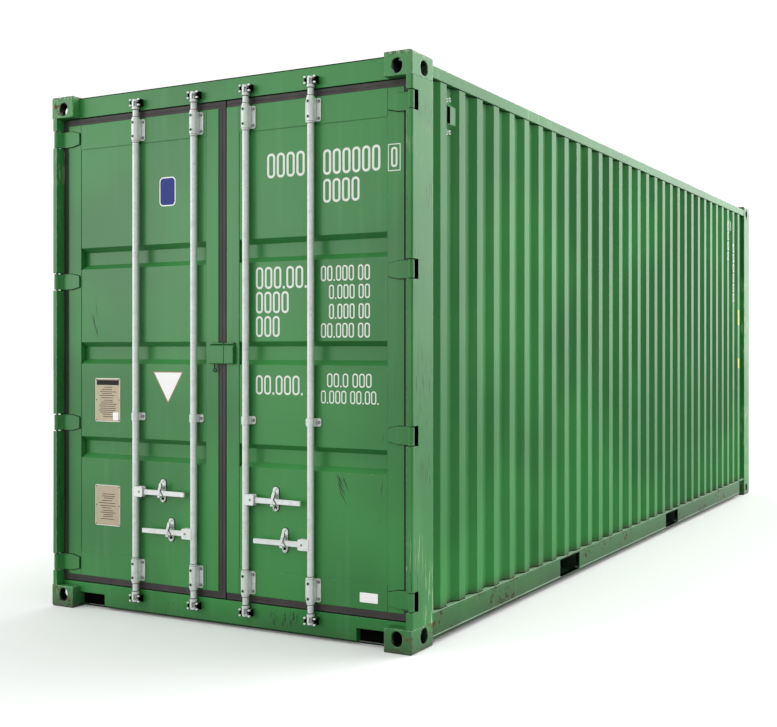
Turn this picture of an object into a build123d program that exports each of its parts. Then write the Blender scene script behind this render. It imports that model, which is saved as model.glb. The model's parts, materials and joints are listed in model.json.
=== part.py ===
from build123d import *
import os

os.makedirs("parts", exist_ok=True)

# A high-cube steel freight container, 20 feet long, with two swinging doors.
# Millimetres. X is the width, Y the length with the door end at low Y, Z is up from the ground.
# Depths named d are measured from the foremost plane of the door end, inward along +Y.

# Overall size
LENGTH = 6058.0
WIDTH = 2438.0
HEIGHT = 2896.0

# Corner castings
CASTING_LENGTH = 178.0
CASTING_WIDTH = 162.0
CASTING_HEIGHT = 118.0
CASTING_WALL = 20.0
CASTING_FACE_WALL = 28.0
CASTING_BACK_WALL = 10.0
CASTING_EDGE_RADIUS = 14.0
SLOT_LENGTH = 124.0
SLOT_WIDTH = 63.5
SLOT_FROM_END = 101.5
SLOT_FROM_SIDE = 89.0
SIDE_HOLE_HEIGHT = 76.0
SIDE_HOLE_WIDTH = 63.5
SIDE_HOLE_RISE = 70.0

# Door-end corner posts
POST_STRIP = 35.0
POST_SIDE = 181.0
POST_STOP_WIDTH = 83.0
POST_STOP_DEPTH = 101.0
POST_WALL = 6.0
POST_CORNER_RADIUS = 10.0

# Blind-end corner posts
END_POST_SIDE = 178.0
END_POST_CHAMFER = 60.0

# Rails
TOP_RAIL_SIZE = 60.0
TOP_RAIL_DROP = 34.0
TOP_RAIL_INSET = 2.0
TOP_RAIL_WALL = 4.0
BOTTOM_RAIL_TOP = 165.0
BOTTOM_RAIL_LOW = 50.0
BOTTOM_RAIL_PLATE = 6.0
BOTTOM_RAIL_WEB_INSET = 3.0
BOTTOM_RAIL_TOP_FLANGE = 54.0
BOTTOM_RAIL_LOW_FLANGE = 34.0
BOTTOM_RAIL_LIP_INSET = 11.0
BOTTOM_RAIL_LIP_FOOT = 25.0
RAIL_RECESS_LENGTH = 170.0
RAIL_RECESS_INSET = 44.0

# Corrugated walls
SHEET = 2.0
WALL_INSET = 3.0
RIDGE_SPACING = 180.0
RIDGE_FLAT = 58.0
RIDGE_SLOPE = 35.0
RIDGE_DEPTH = 32.0
FIRST_TROUGH = 36.0
LAST_TROUGH = 40.0
ROOF_SPACING = 210.0
ROOF_FLAT = 90.0
ROOF_RISE = 20.0
ROOF_TAPER = 45.0
ROOF_MARGIN = 52.0
ROOF_OVERLAP = 13.0

# Floor and underframe
FLOOR_THICKNESS = 28.0
FLOOR_SIDE_GAP = 2.0
MEMBER_HEIGHT = 122.0
MEMBER_FLANGE = 45.0
MEMBER_PLATE = 4.0
MEMBER_SPACING = 330.0
POCKET_WIDTH = 290.0
POCKET_LOW = 43.0
POCKET_HIGH = 150.0
POCKET_PLATE = 5.0
STRAP_LENGTH = 200.0
POCKET_SPACING = 1942.0
POCKET_SHIFT = 285.0

# Door header and sill
DOOR_RECESS = 46.0
HEADER_DROP = 6.0
HEADER_STOP = 78.0
HEADER_WALL = 5.0
SILL_FOOT = 13.0
SILL_TOP = 140.0
SILL_CUT_WIDTH = 197.0
SILL_CUT_HEIGHT = 84.0
END_HEADER_DEPTH = 60.0
END_HEADER_HEIGHT = 90.0
END_SILL_FOOT = 25.0
ROOF_EDGE_PLATE = 4.0

# Door leaves
LEAF_THICKNESS = 50.0
LEAF_INNER_EDGE = 28.0
LEAF_SIDE_GAP = 42.0
LEAF_TOP_GAP = 42.0
LEAF_LOW_GAP = 41.0
LEAF_WALL = 4.0
STILE_INNER = 84.0
STILE_OUTER = 96.0
LEAF_RAIL_TOP = 138.0
LEAF_RAIL_LOW = 133.0
PANEL_INSET = 2.0
RIB_SPACING = 533.5
RIB_DROP = 16.5
RIB_HEIGHT = 122.0
RIB_FLOOR = 70.0
RIB_DEPTH = 30.0
GASKET_RECESS = 3.0
GASKET_THICKNESS = 20.0
GASKET_GAP = 6.0
CENTRE_GAP = 9.0

# Hinges
PIN_FROM_SIDE = 17.0
PIN_DEPTH = 17.0
PIN_RADIUS = 6.0
PIN_CLEARANCE = 0.4
KNUCKLE_RADIUS = 15.0
HINGE_FROM_FOOT = 68.0
HINGE_FROM_TOP = 76.0
LOW_HINGE_SPACING = 796.0
TOP_HINGE_SPACING = 812.0
BLADE_HEIGHT = 88.0
BLADE_TIP_HEIGHT = 62.0
BLADE_THICKNESS = 8.0
BLADE_LENGTH = 150.0
BLADE_TAPER = 58.0
BLADE_STEP = 22.0
BLADE_HEEL = 12.0
HINGE_CLEARANCE = 5.0
HINGE_LUG = 12.0
NOTCH_DEPTH = 52.0

# Lock gear
ROD_RADIUS = 17.0
ROD_DEPTH = 23.0
INNER_ROD = 178.0
ROD_SPACING = 420.0
COLLAR_RADIUS = 19.0
COLLAR_HEIGHT = 9.0
SPINDLE_RADIUS = 15.5
RING_RADIUS = 19.0
RING_HEIGHT = 15.0
NECK_RADIUS = 9.0
NECK_LENGTH = 28.0
END_CAP_RADIUS = 17.0
END_CAP_HEIGHT = 12.0
CAM_REACH = 21.0
CAM_WIDTH = 12.0
RING_ABOVE_LEAF = 43.0
RING_BELOW_LEAF = 47.0
FLANGE_WIDTH = 96.0
FLANGE_PLATE = 5.0
FLANGE_RADIUS = 12.0
SADDLE_HEIGHT = 118.0
SADDLE_RADIUS = 22.0
SADDLE_CLEARANCE = 1.0
SADDLE_FROM_EDGE = 68.0
GUIDE_LEVEL = 1094.0
GUIDE_HEIGHT = 42.0
GUIDE_RADIUS = 21.0
KEEPER_WIDTH = 68.0
KEEPER_PLATE = 3.0
KEEPER_CHEEK = 6.0
KEEPER_REACH = 30.0
KEEPER_CLEARANCE = 3.0

# Handles
HANDLE_LEVELS = (685.0, 477.0, 685.0, 477.0)
HANDLE_TURNS = (1, -1, 1, -1)
HUB_REACH = 68.0
HUB_HEIGHT = 56.0
HUB_PLATE = 6.0
HUB_GAP = 2.0
HUB_WEB = 26.0
HUB_CORNER = 6.0
HANDLE_PIVOT = 44.0
HANDLE_PIN_RADIUS = 5.0
HANDLE_PIN_CLEARANCE = 0.4
HANDLE_ROOT_RADIUS = 14.0
HANDLE_DEPTH = 12.0
HANDLE_THICKNESS = 10.0
HANDLE_HEIGHT = 28.0
HANDLE_GRIP = 24.0
HANDLE_CORNER = 4.0
HANDLE_LENGTH = 360.0
CATCH_OFFSET = 180.0
CATCH_RISE = 8.0
CATCH_WIDTH = 38.0
CATCH_HEIGHT = 124.0
CATCH_LEDGE = 10.0
CATCH_KNOB_RADIUS = 11.0
CATCH_KNOB_REACH = 15.0
CATCH_CLEARANCE = 2.0

# Seal plate across the door gap
SEAL_PLATE_LEFT = -77.0
SEAL_PLATE_RIGHT = 86.0
SEAL_PLATE_LOW = 1385.0
SEAL_PLATE_HIGH = 1496.0
SEAL_PLATE_THICKNESS = 6.0
SEAL_PLATE_FOLD = 10.0

# Ventilators
VENT_WIDTH = 78.0
VENT_HEIGHT = 192.0
VENT_BODY = 136.0
VENT_EAR = 3.0
VENT_DEPTH = 23.0
VENT_FROM_RAIL = 149.0
VENT_FROM_LAST = 3

# Room that a cutting shape reaches past what it cuts
CUT_MARGIN = 1.0

# Values that follow from the ones above
SIDE = WIDTH / 2
FRONT = -LENGTH / 2
POST_LOW = CASTING_HEIGHT
POST_HIGH = HEIGHT - CASTING_HEIGHT
POST_INNER = SIDE - POST_STRIP
POST_STOP = SIDE - POST_STOP_WIDTH
CASTING_INNER = SIDE - CASTING_WIDTH
WALL_OUTER = SIDE - WALL_INSET
WALL_INNER = WALL_OUTER - RIDGE_DEPTH
TOP_RAIL_TOP = HEIGHT - TOP_RAIL_DROP
TOP_RAIL_LOW = TOP_RAIL_TOP - TOP_RAIL_SIZE
HEADER_TOP = HEIGHT - HEADER_DROP
END_HEADER_LOW = HEADER_TOP - END_HEADER_HEIGHT
FLOOR_LOW = POCKET_HIGH + POCKET_PLATE
FLOOR_TOP = FLOOR_LOW + FLOOR_THICKNESS
WEB_OUTER = SIDE - BOTTOM_RAIL_WEB_INSET
LIP_OUTER = SIDE - BOTTOM_RAIL_LIP_INSET
FLANGE_INNER = SIDE - BOTTOM_RAIL_LOW_FLANGE
WEB_STEP = SIDE - RAIL_RECESS_INSET
RAIL_END = LENGTH - CASTING_LENGTH
RECESS_START = RAIL_END - RAIL_RECESS_LENGTH
FIRST_RIDGE = POST_SIDE + FIRST_TROUGH + RIDGE_SLOPE
LAST_RIDGE_END = LENGTH - END_POST_SIDE - LAST_TROUGH - RIDGE_SLOPE
RIDGE_COUNT = int((LAST_RIDGE_END - RIDGE_FLAT - FIRST_RIDGE) // RIDGE_SPACING) + 1
END_RIDGE_RUN = 2 * (CASTING_INNER - LAST_TROUGH - RIDGE_SLOPE)
END_RIDGE_COUNT = int((END_RIDGE_RUN - RIDGE_FLAT) // RIDGE_SPACING) + 1
POCKET_MIDDLE = LENGTH / 2 - POCKET_SHIFT
POCKET_CENTRES = (POCKET_MIDDLE - POCKET_SPACING / 2, POCKET_MIDDLE + POCKET_SPACING / 2)
LEAF_OUTER_EDGE = POST_INNER - LEAF_SIDE_GAP
LEAF_LOW = SILL_TOP + LEAF_LOW_GAP
LEAF_HIGH = POST_HIGH - LEAF_TOP_GAP
LEAF_BACK = DOOR_RECESS + LEAF_THICKNESS
GASKET_OUTER = POST_INNER - GASKET_GAP
GASKET_TOP = POST_HIGH - GASKET_GAP
GASKET_LOW = SILL_TOP + GASKET_GAP
PIN_X = SIDE - PIN_FROM_SIDE
BLADE_TIP = PIN_X - BLADE_LENGTH
PANEL_FACE = DOOR_RECESS + PANEL_INSET
RIB_MIDDLE = (LEAF_LOW + LEAF_HIGH) / 2 - RIB_DROP
RIB_CENTRES = (RIB_MIDDLE - RIB_SPACING, RIB_MIDDLE, RIB_MIDDLE + RIB_SPACING)
LOW_HINGE = LEAF_LOW + HINGE_FROM_FOOT
TOP_HINGE = LEAF_HIGH - HINGE_FROM_TOP
HINGE_HEIGHTS = (LOW_HINGE, LOW_HINGE + LOW_HINGE_SPACING, TOP_HINGE - TOP_HINGE_SPACING, TOP_HINGE)
OUTER_ROD = INNER_ROD + ROD_SPACING
ROD_PLACES = (-OUTER_ROD, -INNER_ROD, INNER_ROD, OUTER_ROD)
BAR_END = RING_HEIGHT + NECK_LENGTH + END_CAP_HEIGHT
TOP_RING = LEAF_HIGH + RING_ABOVE_LEAF
LOW_RING = LEAF_LOW - RING_BELOW_LEAF
LOW_BEARING = LEAF_LOW + SADDLE_FROM_EDGE
TOP_BEARING = LEAF_HIGH - SADDLE_FROM_EDGE
VENT_LEVEL = TOP_RAIL_LOW - VENT_FROM_RAIL
VENT_RIDGES = (0, RIDGE_COUNT - VENT_FROM_LAST)


def y_at(depth):
    """Y of a depth behind the door end's foremost plane."""
    return FRONT + depth


def block(x0, x1, d0, d1, z0, z1):
    """A box between two X, two depths and two heights."""
    size = (abs(x1 - x0), abs(d1 - d0), abs(z1 - z0))
    centre = ((x0 + x1) / 2, y_at((d0 + d1) / 2), (z0 + z1) / 2)
    return Pos(*centre) * Box(*size)


def plan(points, z0, z1):
    """A straight piece from an outline seen from above, points as (x, depth)."""
    outline = [(x, y_at(d)) for x, d in points]
    face = make_face(Polyline(*outline, close=True))
    return extrude(Plane.XY.offset(z0) * face, z1 - z0)


def side_profile(points, x0, x1):
    """A straight piece along X from an outline seen from the side, points as (depth, z)."""
    outline = [(y_at(d), z) for d, z in points]
    face = make_face(Polyline(*outline, close=True))
    return extrude(Plane.YZ.offset(x0) * face, x1 - x0)


def front_profile(points, d0, d1):
    """A straight piece along Y from an outline seen from the door end, points as (x, z)."""
    face = make_face(Polyline(*points, close=True))
    facing = Plane(origin=(0, y_at(d1), 0), x_dir=(1, 0, 0), z_dir=(0, -1, 0))
    return extrude(facing * face, d1 - d0)


def upright(x, d, radius, z0, z1):
    """A round bar along Z."""
    return Pos(x, y_at(d), (z0 + z1) / 2) * Cylinder(radius, z1 - z0)


def inward(x, z, radius, d0, d1):
    """A round bar along Y."""
    return Pos(x, y_at((d0 + d1) / 2), z) * Rot(90, 0, 0) * Cylinder(radius, d1 - d0)


def other_side(shape):
    """The same piece on the left of the container."""
    return mirror(shape, about=Plane.YZ)


def save(shape, name):
    """Write one named piece."""
    export_step(shape, "parts/" + name + ".step")


# Corner castings
# Each casting is a hollow steel block with an oblong slot in its top or bottom face
# and an oval hole in each of its two outer side faces. It is drawn for the right
# bottom corner of the door end and turned over or mirrored to the other seven corners.

def casting():
    """The hollow block at the right bottom corner of the door end."""
    radius = CASTING_EDGE_RADIUS
    face = Rectangle(CASTING_WIDTH, CASTING_HEIGHT)
    low_outer = face.vertices().sort_by(Axis.Y)[:2].sort_by(Axis.X)[-1]
    face = fillet(low_outer, radius)
    facing = Plane(
        origin=(SIDE - CASTING_WIDTH / 2, y_at(CASTING_LENGTH), CASTING_HEIGHT / 2),
        x_dir=(1, 0, 0),
        z_dir=(0, -1, 0),
    )
    body = extrude(facing * face, CASTING_LENGTH)
    cavity = block(
        SIDE - CASTING_WIDTH + CASTING_BACK_WALL,
        SIDE - CASTING_WALL,
        CASTING_WALL,
        CASTING_LENGTH - CASTING_BACK_WALL,
        CASTING_FACE_WALL,
        CASTING_HEIGHT - CASTING_BACK_WALL,
    )
    body = body - cavity
    slot = SlotOverall(SLOT_LENGTH, SLOT_WIDTH, rotation=90)
    slot_place = Pos(SIDE - SLOT_FROM_SIDE, y_at(SLOT_FROM_END), 0)
    body = body - slot_place * extrude(slot, CASTING_FACE_WALL)
    hole = SlotOverall(SIDE_HOLE_HEIGHT, SIDE_HOLE_WIDTH, rotation=90)
    end_face = Plane(
        origin=(SIDE - SLOT_FROM_SIDE, y_at(CASTING_WALL), SIDE_HOLE_RISE),
        x_dir=(1, 0, 0),
        z_dir=(0, -1, 0),
    )
    body = body - extrude(end_face * hole, CASTING_WALL)
    side_face = Plane(
        origin=(SIDE - CASTING_WALL, y_at(SLOT_FROM_END), SIDE_HOLE_RISE),
        x_dir=(0, 1, 0),
        z_dir=(1, 0, 0),
    )
    return body - extrude(side_face * hole, CASTING_WALL)


right_casting = casting()
left_casting = other_side(right_casting)
to_top = Plane.XY.offset(HEIGHT / 2)
door_end_pair = [right_casting, left_casting]
bottom_castings = door_end_pair + [mirror(c, about=Plane.XZ) for c in door_end_pair]
top_castings = [mirror(c, about=to_top) for c in bottom_castings]
save(Compound(children=bottom_castings), "bottom_castings")
save(Compound(children=top_castings), "top_castings")


# Door-end posts
# A hollow L-shaped column: a narrow strip in front, a broad side, and an inner stop
# for the door leaf. At each hinge its front corner is cut away, and two thick lugs
# above and below the cut hold the hinge pin.

def door_post():
    """The right corner post of the door end."""
    outline = [
        (POST_INNER, 0),
        (SIDE, 0),
        (SIDE, POST_SIDE),
        (POST_STOP, POST_SIDE),
        (POST_STOP, POST_STOP_DEPTH),
        (POST_INNER, POST_STOP_DEPTH),
    ]
    hollow = [
        (POST_INNER + POST_WALL, POST_WALL),
        (SIDE - POST_WALL, POST_WALL),
        (SIDE - POST_WALL, POST_SIDE - POST_WALL),
        (POST_STOP + POST_WALL, POST_SIDE - POST_WALL),
        (POST_STOP + POST_WALL, POST_STOP_DEPTH + POST_WALL),
        (POST_INNER + POST_WALL, POST_STOP_DEPTH + POST_WALL),
    ]
    column = plan(outline, POST_LOW, POST_HIGH)
    front_corner = column.edges().filter_by(Axis.Z).group_by(Axis.Y)[0].sort_by(Axis.X)[-1]
    column = fillet(front_corner, POST_CORNER_RADIUS)
    core = plan(hollow, POST_LOW, POST_HIGH)
    half_cut = BLADE_HEIGHT / 2 + HINGE_CLEARANCE
    half_lug = half_cut + HINGE_LUG
    back = NOTCH_DEPTH + POST_WALL
    for z in HINGE_HEIGHTS:
        core = core - block(POST_INNER, SIDE, 0, back, z - half_lug, z + half_lug)
    column = column - core
    for z in HINGE_HEIGHTS:
        column = column - block(
            POST_INNER - CUT_MARGIN, SIDE + CUT_MARGIN, -CUT_MARGIN, NOTCH_DEPTH,
            z - half_cut, z + half_cut,
        )
        column = column + upright(PIN_X, PIN_DEPTH, PIN_RADIUS, z - half_cut, z + half_cut)
    return column


right_post = door_post()
save(Compound(children=[right_post, other_side(right_post)]), "door_posts")


# Blind-end posts
def end_post():
    """The right corner post of the blind end, a hollow five-sided column."""
    d0 = LENGTH - END_POST_SIDE
    wall = POST_WALL
    inner = CASTING_INNER
    cut = END_POST_CHAMFER
    outline = [
        (SIDE, LENGTH),
        (inner, LENGTH),
        (inner, LENGTH - cut),
        (SIDE - cut, d0),
        (SIDE, d0),
    ]
    hollow = [
        (SIDE - wall, LENGTH - wall),
        (inner + wall, LENGTH - wall),
        (inner + wall, LENGTH - cut + wall / 2),
        (SIDE - cut + wall / 2, d0 + wall),
        (SIDE - wall, d0 + wall),
    ]
    return plan(outline, POST_LOW, POST_HIGH) - plan(hollow, POST_LOW, POST_HIGH)


right_end_post = end_post()
save(Compound(children=[right_end_post, other_side(right_end_post)]), "blind_end_posts")


# Door header and sill
# Both are hollow beams between the castings, set back behind the posts' front strips.
# A lower or upper lip behind the leaves stops the doors.

def door_header():
    """The beam over the doors."""
    wall = HEADER_WALL
    beam = block(-CASTING_INNER, CASTING_INNER, DOOR_RECESS, CASTING_LENGTH, POST_HIGH, HEADER_TOP)
    hollow = block(
        -CASTING_INNER,
        CASTING_INNER,
        DOOR_RECESS + wall,
        CASTING_LENGTH - wall,
        POST_HIGH + wall,
        HEADER_TOP - wall,
    )
    stop = block(-POST_STOP, POST_STOP, POST_STOP_DEPTH, POST_SIDE, POST_HIGH - HEADER_STOP, POST_HIGH)
    stop_core = block(
        -POST_STOP,
        POST_STOP,
        POST_STOP_DEPTH + wall,
        POST_SIDE - wall,
        POST_HIGH - HEADER_STOP + wall,
        POST_HIGH - wall,
    )
    return beam - hollow + (stop - stop_core)


def door_sill():
    """The beam under the doors, cut away at both ends beside the castings."""
    wall = HEADER_WALL
    cut_edge = CASTING_INNER - SILL_CUT_WIDTH
    beam = block(-CASTING_INNER, CASTING_INNER, DOOR_RECESS, POST_SIDE, SILL_FOOT, POST_LOW)
    threshold = block(-POST_INNER, POST_INNER, DOOR_RECESS, POST_STOP_DEPTH, POST_LOW, SILL_TOP)
    stop = block(-POST_STOP, POST_STOP, POST_STOP_DEPTH, POST_SIDE, POST_LOW, FLOOR_TOP)
    sill = beam + threshold + stop
    core = block(
        -cut_edge + wall, cut_edge - wall, DOOR_RECESS + wall, POST_SIDE - wall,
        SILL_FOOT + wall, SILL_TOP - wall,
    )
    sill = sill - core
    for turn in (-1, 1):
        x0, x1 = sorted((turn * cut_edge, turn * CASTING_INNER))
        sill = sill - block(x0, x1, DOOR_RECESS, POST_SIDE, SILL_FOOT, SILL_CUT_HEIGHT)
    return sill


save(door_header(), "door_header")
save(door_sill(), "door_sill")


# Blind-end beams
end_front = LENGTH - END_HEADER_DEPTH
end_header = block(-CASTING_INNER, CASTING_INNER, end_front, LENGTH, END_HEADER_LOW, HEADER_TOP)
end_header = end_header - block(
    -CASTING_INNER, CASTING_INNER, end_front + HEADER_WALL, LENGTH - HEADER_WALL,
    END_HEADER_LOW + HEADER_WALL, HEADER_TOP - HEADER_WALL,
)
roof_edge = block(
    -CASTING_INNER, CASTING_INNER, LENGTH - CASTING_LENGTH, end_front,
    TOP_RAIL_TOP, TOP_RAIL_TOP + ROOF_EDGE_PLATE,
)
end_header = end_header + roof_edge
end_sill = block(-CASTING_INNER, CASTING_INNER, LENGTH - END_POST_SIDE, LENGTH, END_SILL_FOOT, FLOOR_TOP)
end_sill = end_sill - block(
    -CASTING_INNER, CASTING_INNER, LENGTH - END_POST_SIDE + HEADER_WALL, LENGTH - HEADER_WALL,
    END_SILL_FOOT + HEADER_WALL, FLOOR_TOP - HEADER_WALL,
)
save(Compound(children=[end_header, end_sill]), "blind_end_beams")


# Side rails
def top_rail():
    """The right top rail, a square tube between the castings."""
    outer = SIDE - TOP_RAIL_INSET
    inner = outer - TOP_RAIL_SIZE
    wall = TOP_RAIL_WALL
    d0 = CASTING_LENGTH
    d1 = LENGTH - CASTING_LENGTH
    tube = block(inner, outer, d0, d1, TOP_RAIL_LOW, TOP_RAIL_TOP)
    return tube - block(inner + wall, outer - wall, d0, d1, TOP_RAIL_LOW + wall, TOP_RAIL_TOP - wall)


def rail_angle():
    """The top angle of the right bottom rail, unbroken above the fork pockets."""
    flange_top = BOTTOM_RAIL_TOP - BOTTOM_RAIL_PLATE
    web_inner = WEB_OUTER - BOTTOM_RAIL_PLATE
    section = [
        (SIDE, BOTTOM_RAIL_TOP),
        (SIDE - BOTTOM_RAIL_TOP_FLANGE, BOTTOM_RAIL_TOP),
        (SIDE - BOTTOM_RAIL_TOP_FLANGE, flange_top),
        (web_inner, flange_top),
        (web_inner, POCKET_HIGH),
        (WEB_OUTER, POCKET_HIGH),
        (WEB_OUTER, flange_top),
        (SIDE, flange_top),
    ]
    angle = front_profile(section, POST_SIDE, RAIL_END)
    return angle - block(WEB_STEP, WEB_OUTER, RECESS_START, RAIL_END, POCKET_HIGH, flange_top)


def rail_length(d0, d1):
    """The web, bottom flange and lip of the right bottom rail between two depths."""
    plate = BOTTOM_RAIL_PLATE
    flange_low = BOTTOM_RAIL_LOW - plate
    section = [
        (WEB_OUTER, POCKET_HIGH),
        (WEB_OUTER - plate, POCKET_HIGH),
        (WEB_OUTER - plate, BOTTOM_RAIL_LOW),
        (FLANGE_INNER, BOTTOM_RAIL_LOW),
        (FLANGE_INNER, flange_low),
        (LIP_OUTER - plate, flange_low),
        (LIP_OUTER - plate, BOTTOM_RAIL_LIP_FOOT),
        (LIP_OUTER, BOTTOM_RAIL_LIP_FOOT),
        (LIP_OUTER, flange_low),
        (SIDE, flange_low),
        (SIDE, BOTTOM_RAIL_LOW),
        (WEB_OUTER, BOTTOM_RAIL_LOW),
    ]
    return front_profile(section, d0, d1)


def bottom_rail():
    """The three lengths of the right bottom rail, the last one stepped in at the blind end."""
    half = POCKET_WIDTH / 2
    plate = BOTTOM_RAIL_PLATE
    near, far = POCKET_CENTRES
    low = BOTTOM_RAIL_LOW - plate
    high = BOTTOM_RAIL_TOP - plate
    last = rail_length(far + half, RECESS_START)
    last = last + block(WEB_STEP - plate, WEB_OUTER, RECESS_START - plate, RECESS_START, low, POCKET_HIGH)
    last = last + block(WEB_STEP - plate, WEB_STEP, RECESS_START - plate, RAIL_END, low, high)
    return [rail_length(POST_SIDE, near - half), rail_length(near + half, far - half), last]


right_top_rail = top_rail()
right_angle = rail_angle()
right_lengths = bottom_rail()
save(Compound(children=[right_top_rail, other_side(right_top_rail)]), "top_side_rails")
save(Compound(children=[right_angle, other_side(right_angle)]), "bottom_rail_angles")
save(Compound(children=right_lengths + [other_side(r) for r in right_lengths]), "bottom_side_rails")


# Corrugated side walls
# One folded sheet from post to post. Its ridges have a flat crown, sloping flanks
# and a flat trough, and it stands on the bottom rail and meets the top rail.

def ridge_line(first, count, low, high, start, end):
    """The folded line of a corrugated wall as (along, across) points."""
    line = [(start, low)]
    for i in range(count):
        crown = first + i * RIDGE_SPACING
        line.append((crown - RIDGE_SLOPE, low))
        line.append((crown, high))
        line.append((crown + RIDGE_FLAT, high))
        line.append((crown + RIDGE_FLAT + RIDGE_SLOPE, low))
    line.append((end, low))
    return line


def folded_outline(line, sheet):
    """A closed outline: the folded line and the same line one sheet thickness lower."""
    lower = [(a, b - sheet) for a, b in reversed(line)]
    return line + lower


side_end = LENGTH - END_POST_SIDE
side_line = ridge_line(FIRST_RIDGE, RIDGE_COUNT, WALL_INNER, WALL_OUTER, POST_SIDE, side_end)
side_outline = [(x, d) for d, x in folded_outline(side_line, SHEET)]
right_wall = plan(side_outline, BOTTOM_RAIL_TOP, TOP_RAIL_LOW)
save(right_wall, "side_wall_right")
save(other_side(right_wall), "side_wall_left")

# Blind end wall, the same sheet profile across the width
end_outer = LENGTH - WALL_INSET
end_inner = end_outer - RIDGE_DEPTH
end_first = -((END_RIDGE_COUNT - 1) * RIDGE_SPACING + RIDGE_FLAT) / 2
end_line = ridge_line(end_first, END_RIDGE_COUNT, end_inner, end_outer, -CASTING_INNER, CASTING_INNER)
save(plan(folded_outline(end_line, SHEET), FLOOR_TOP, END_HEADER_LOW), "blind_end_wall")


# Roof
# A flat sheet on the top rails. Shallow folds are pressed up across it, each closed
# by a slope at both ends, so that rain can't run in over the rails.

def roof_fold(depth, width, height):
    """One raised fold: level on top, sloping down on all four sides."""
    base = Plane(origin=(0, y_at(depth), height), x_dir=(1, 0, 0), z_dir=(0, 0, 1))
    return extrude(base * Rectangle(width, ROOF_FLAT + 2 * ROOF_RISE), ROOF_RISE, taper=ROOF_TAPER)


roof_low = TOP_RAIL_TOP + SHEET
roof_half = SIDE - TOP_RAIL_INSET - TOP_RAIL_SIZE + ROOF_OVERLAP
roof_start = CASTING_LENGTH
roof_end = LENGTH - CASTING_LENGTH
fold_width = 2 * (roof_half - ROOF_MARGIN)
fold_count = int((roof_end - roof_start) // ROOF_SPACING)
fold_first = (LENGTH - (fold_count - 1) * ROOF_SPACING) / 2
fold_places = [fold_first + i * ROOF_SPACING for i in range(fold_count)]
roof = block(-roof_half, roof_half, roof_start, roof_end, TOP_RAIL_TOP, roof_low)
roof = roof + [roof_fold(d, fold_width, roof_low) for d in fold_places]
roof = roof - [roof_fold(d, fold_width, TOP_RAIL_TOP) for d in fold_places]
save(roof, "roof")


# Floor, cross members and fork pockets
# A fork pocket lies between two cross members that turn their webs to it.
floor_half = SIDE - BOTTOM_RAIL_TOP_FLANGE - FLOOR_SIDE_GAP
floor_end = LENGTH - END_POST_SIDE
save(block(-floor_half, floor_half, POST_SIDE, floor_end, FLOOR_LOW, FLOOR_TOP), "floor_boards")


def cross_member(depth, turn):
    """A channel across the container, its web at this depth and its flanges to one side."""
    low = FLOOR_LOW - MEMBER_HEIGHT
    plate = MEMBER_PLATE
    back = depth + turn * plate
    reach = depth + turn * MEMBER_FLANGE
    channel = [
        (depth, low),
        (reach, low),
        (reach, low + plate),
        (back, low + plate),
        (back, FLOOR_LOW - plate),
        (reach, FLOOR_LOW - plate),
        (reach, FLOOR_LOW),
        (depth, FLOOR_LOW),
    ]
    return side_profile(channel, -FLANGE_INNER, FLANGE_INNER)


def meets_pocket(depth):
    """Whether a cross member at this depth would run into a fork pocket or its side channels."""
    reach = POCKET_WIDTH / 2 + 2 * MEMBER_FLANGE
    return any(abs(depth + MEMBER_FLANGE / 2 - centre) < reach for centre in POCKET_CENTRES)


member_run = floor_end - POST_SIDE
member_count = int(member_run // MEMBER_SPACING)
member_first = POST_SIDE + (member_run - (member_count - 1) * MEMBER_SPACING - MEMBER_FLANGE) / 2
member_places = [member_first + i * MEMBER_SPACING for i in range(member_count)]
members = [cross_member(d, 1) for d in member_places if not meets_pocket(d)]
for centre in POCKET_CENTRES:
    members.append(cross_member(centre - POCKET_WIDTH / 2, -1))
    members.append(cross_member(centre + POCKET_WIDTH / 2, 1))
save(Compound(children=members), "cross_members")


def fork_pocket(centre):
    """The plates of one pocket: one over the forks, and a strap under them at each side."""
    d0 = centre - POCKET_WIDTH / 2
    d1 = centre + POCKET_WIDTH / 2
    reach = WEB_OUTER - BOTTOM_RAIL_PLATE
    strap_low = POCKET_LOW - POCKET_PLATE
    return [
        block(-reach, reach, d0, d1, POCKET_HIGH, FLOOR_LOW),
        block(reach - STRAP_LENGTH, reach, d0, d1, strap_low, POCKET_LOW),
        block(-reach, STRAP_LENGTH - reach, d0, d1, strap_low, POCKET_LOW),
    ]


pocket_plates = [plate for centre in POCKET_CENTRES for plate in fork_pocket(centre)]
save(Compound(children=pocket_plates), "fork_pockets")


# Ventilators
# A small hooded cover with bevelled ends and a flat ear above and below,
# fixed in a trough of the side wall near the top.

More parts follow.
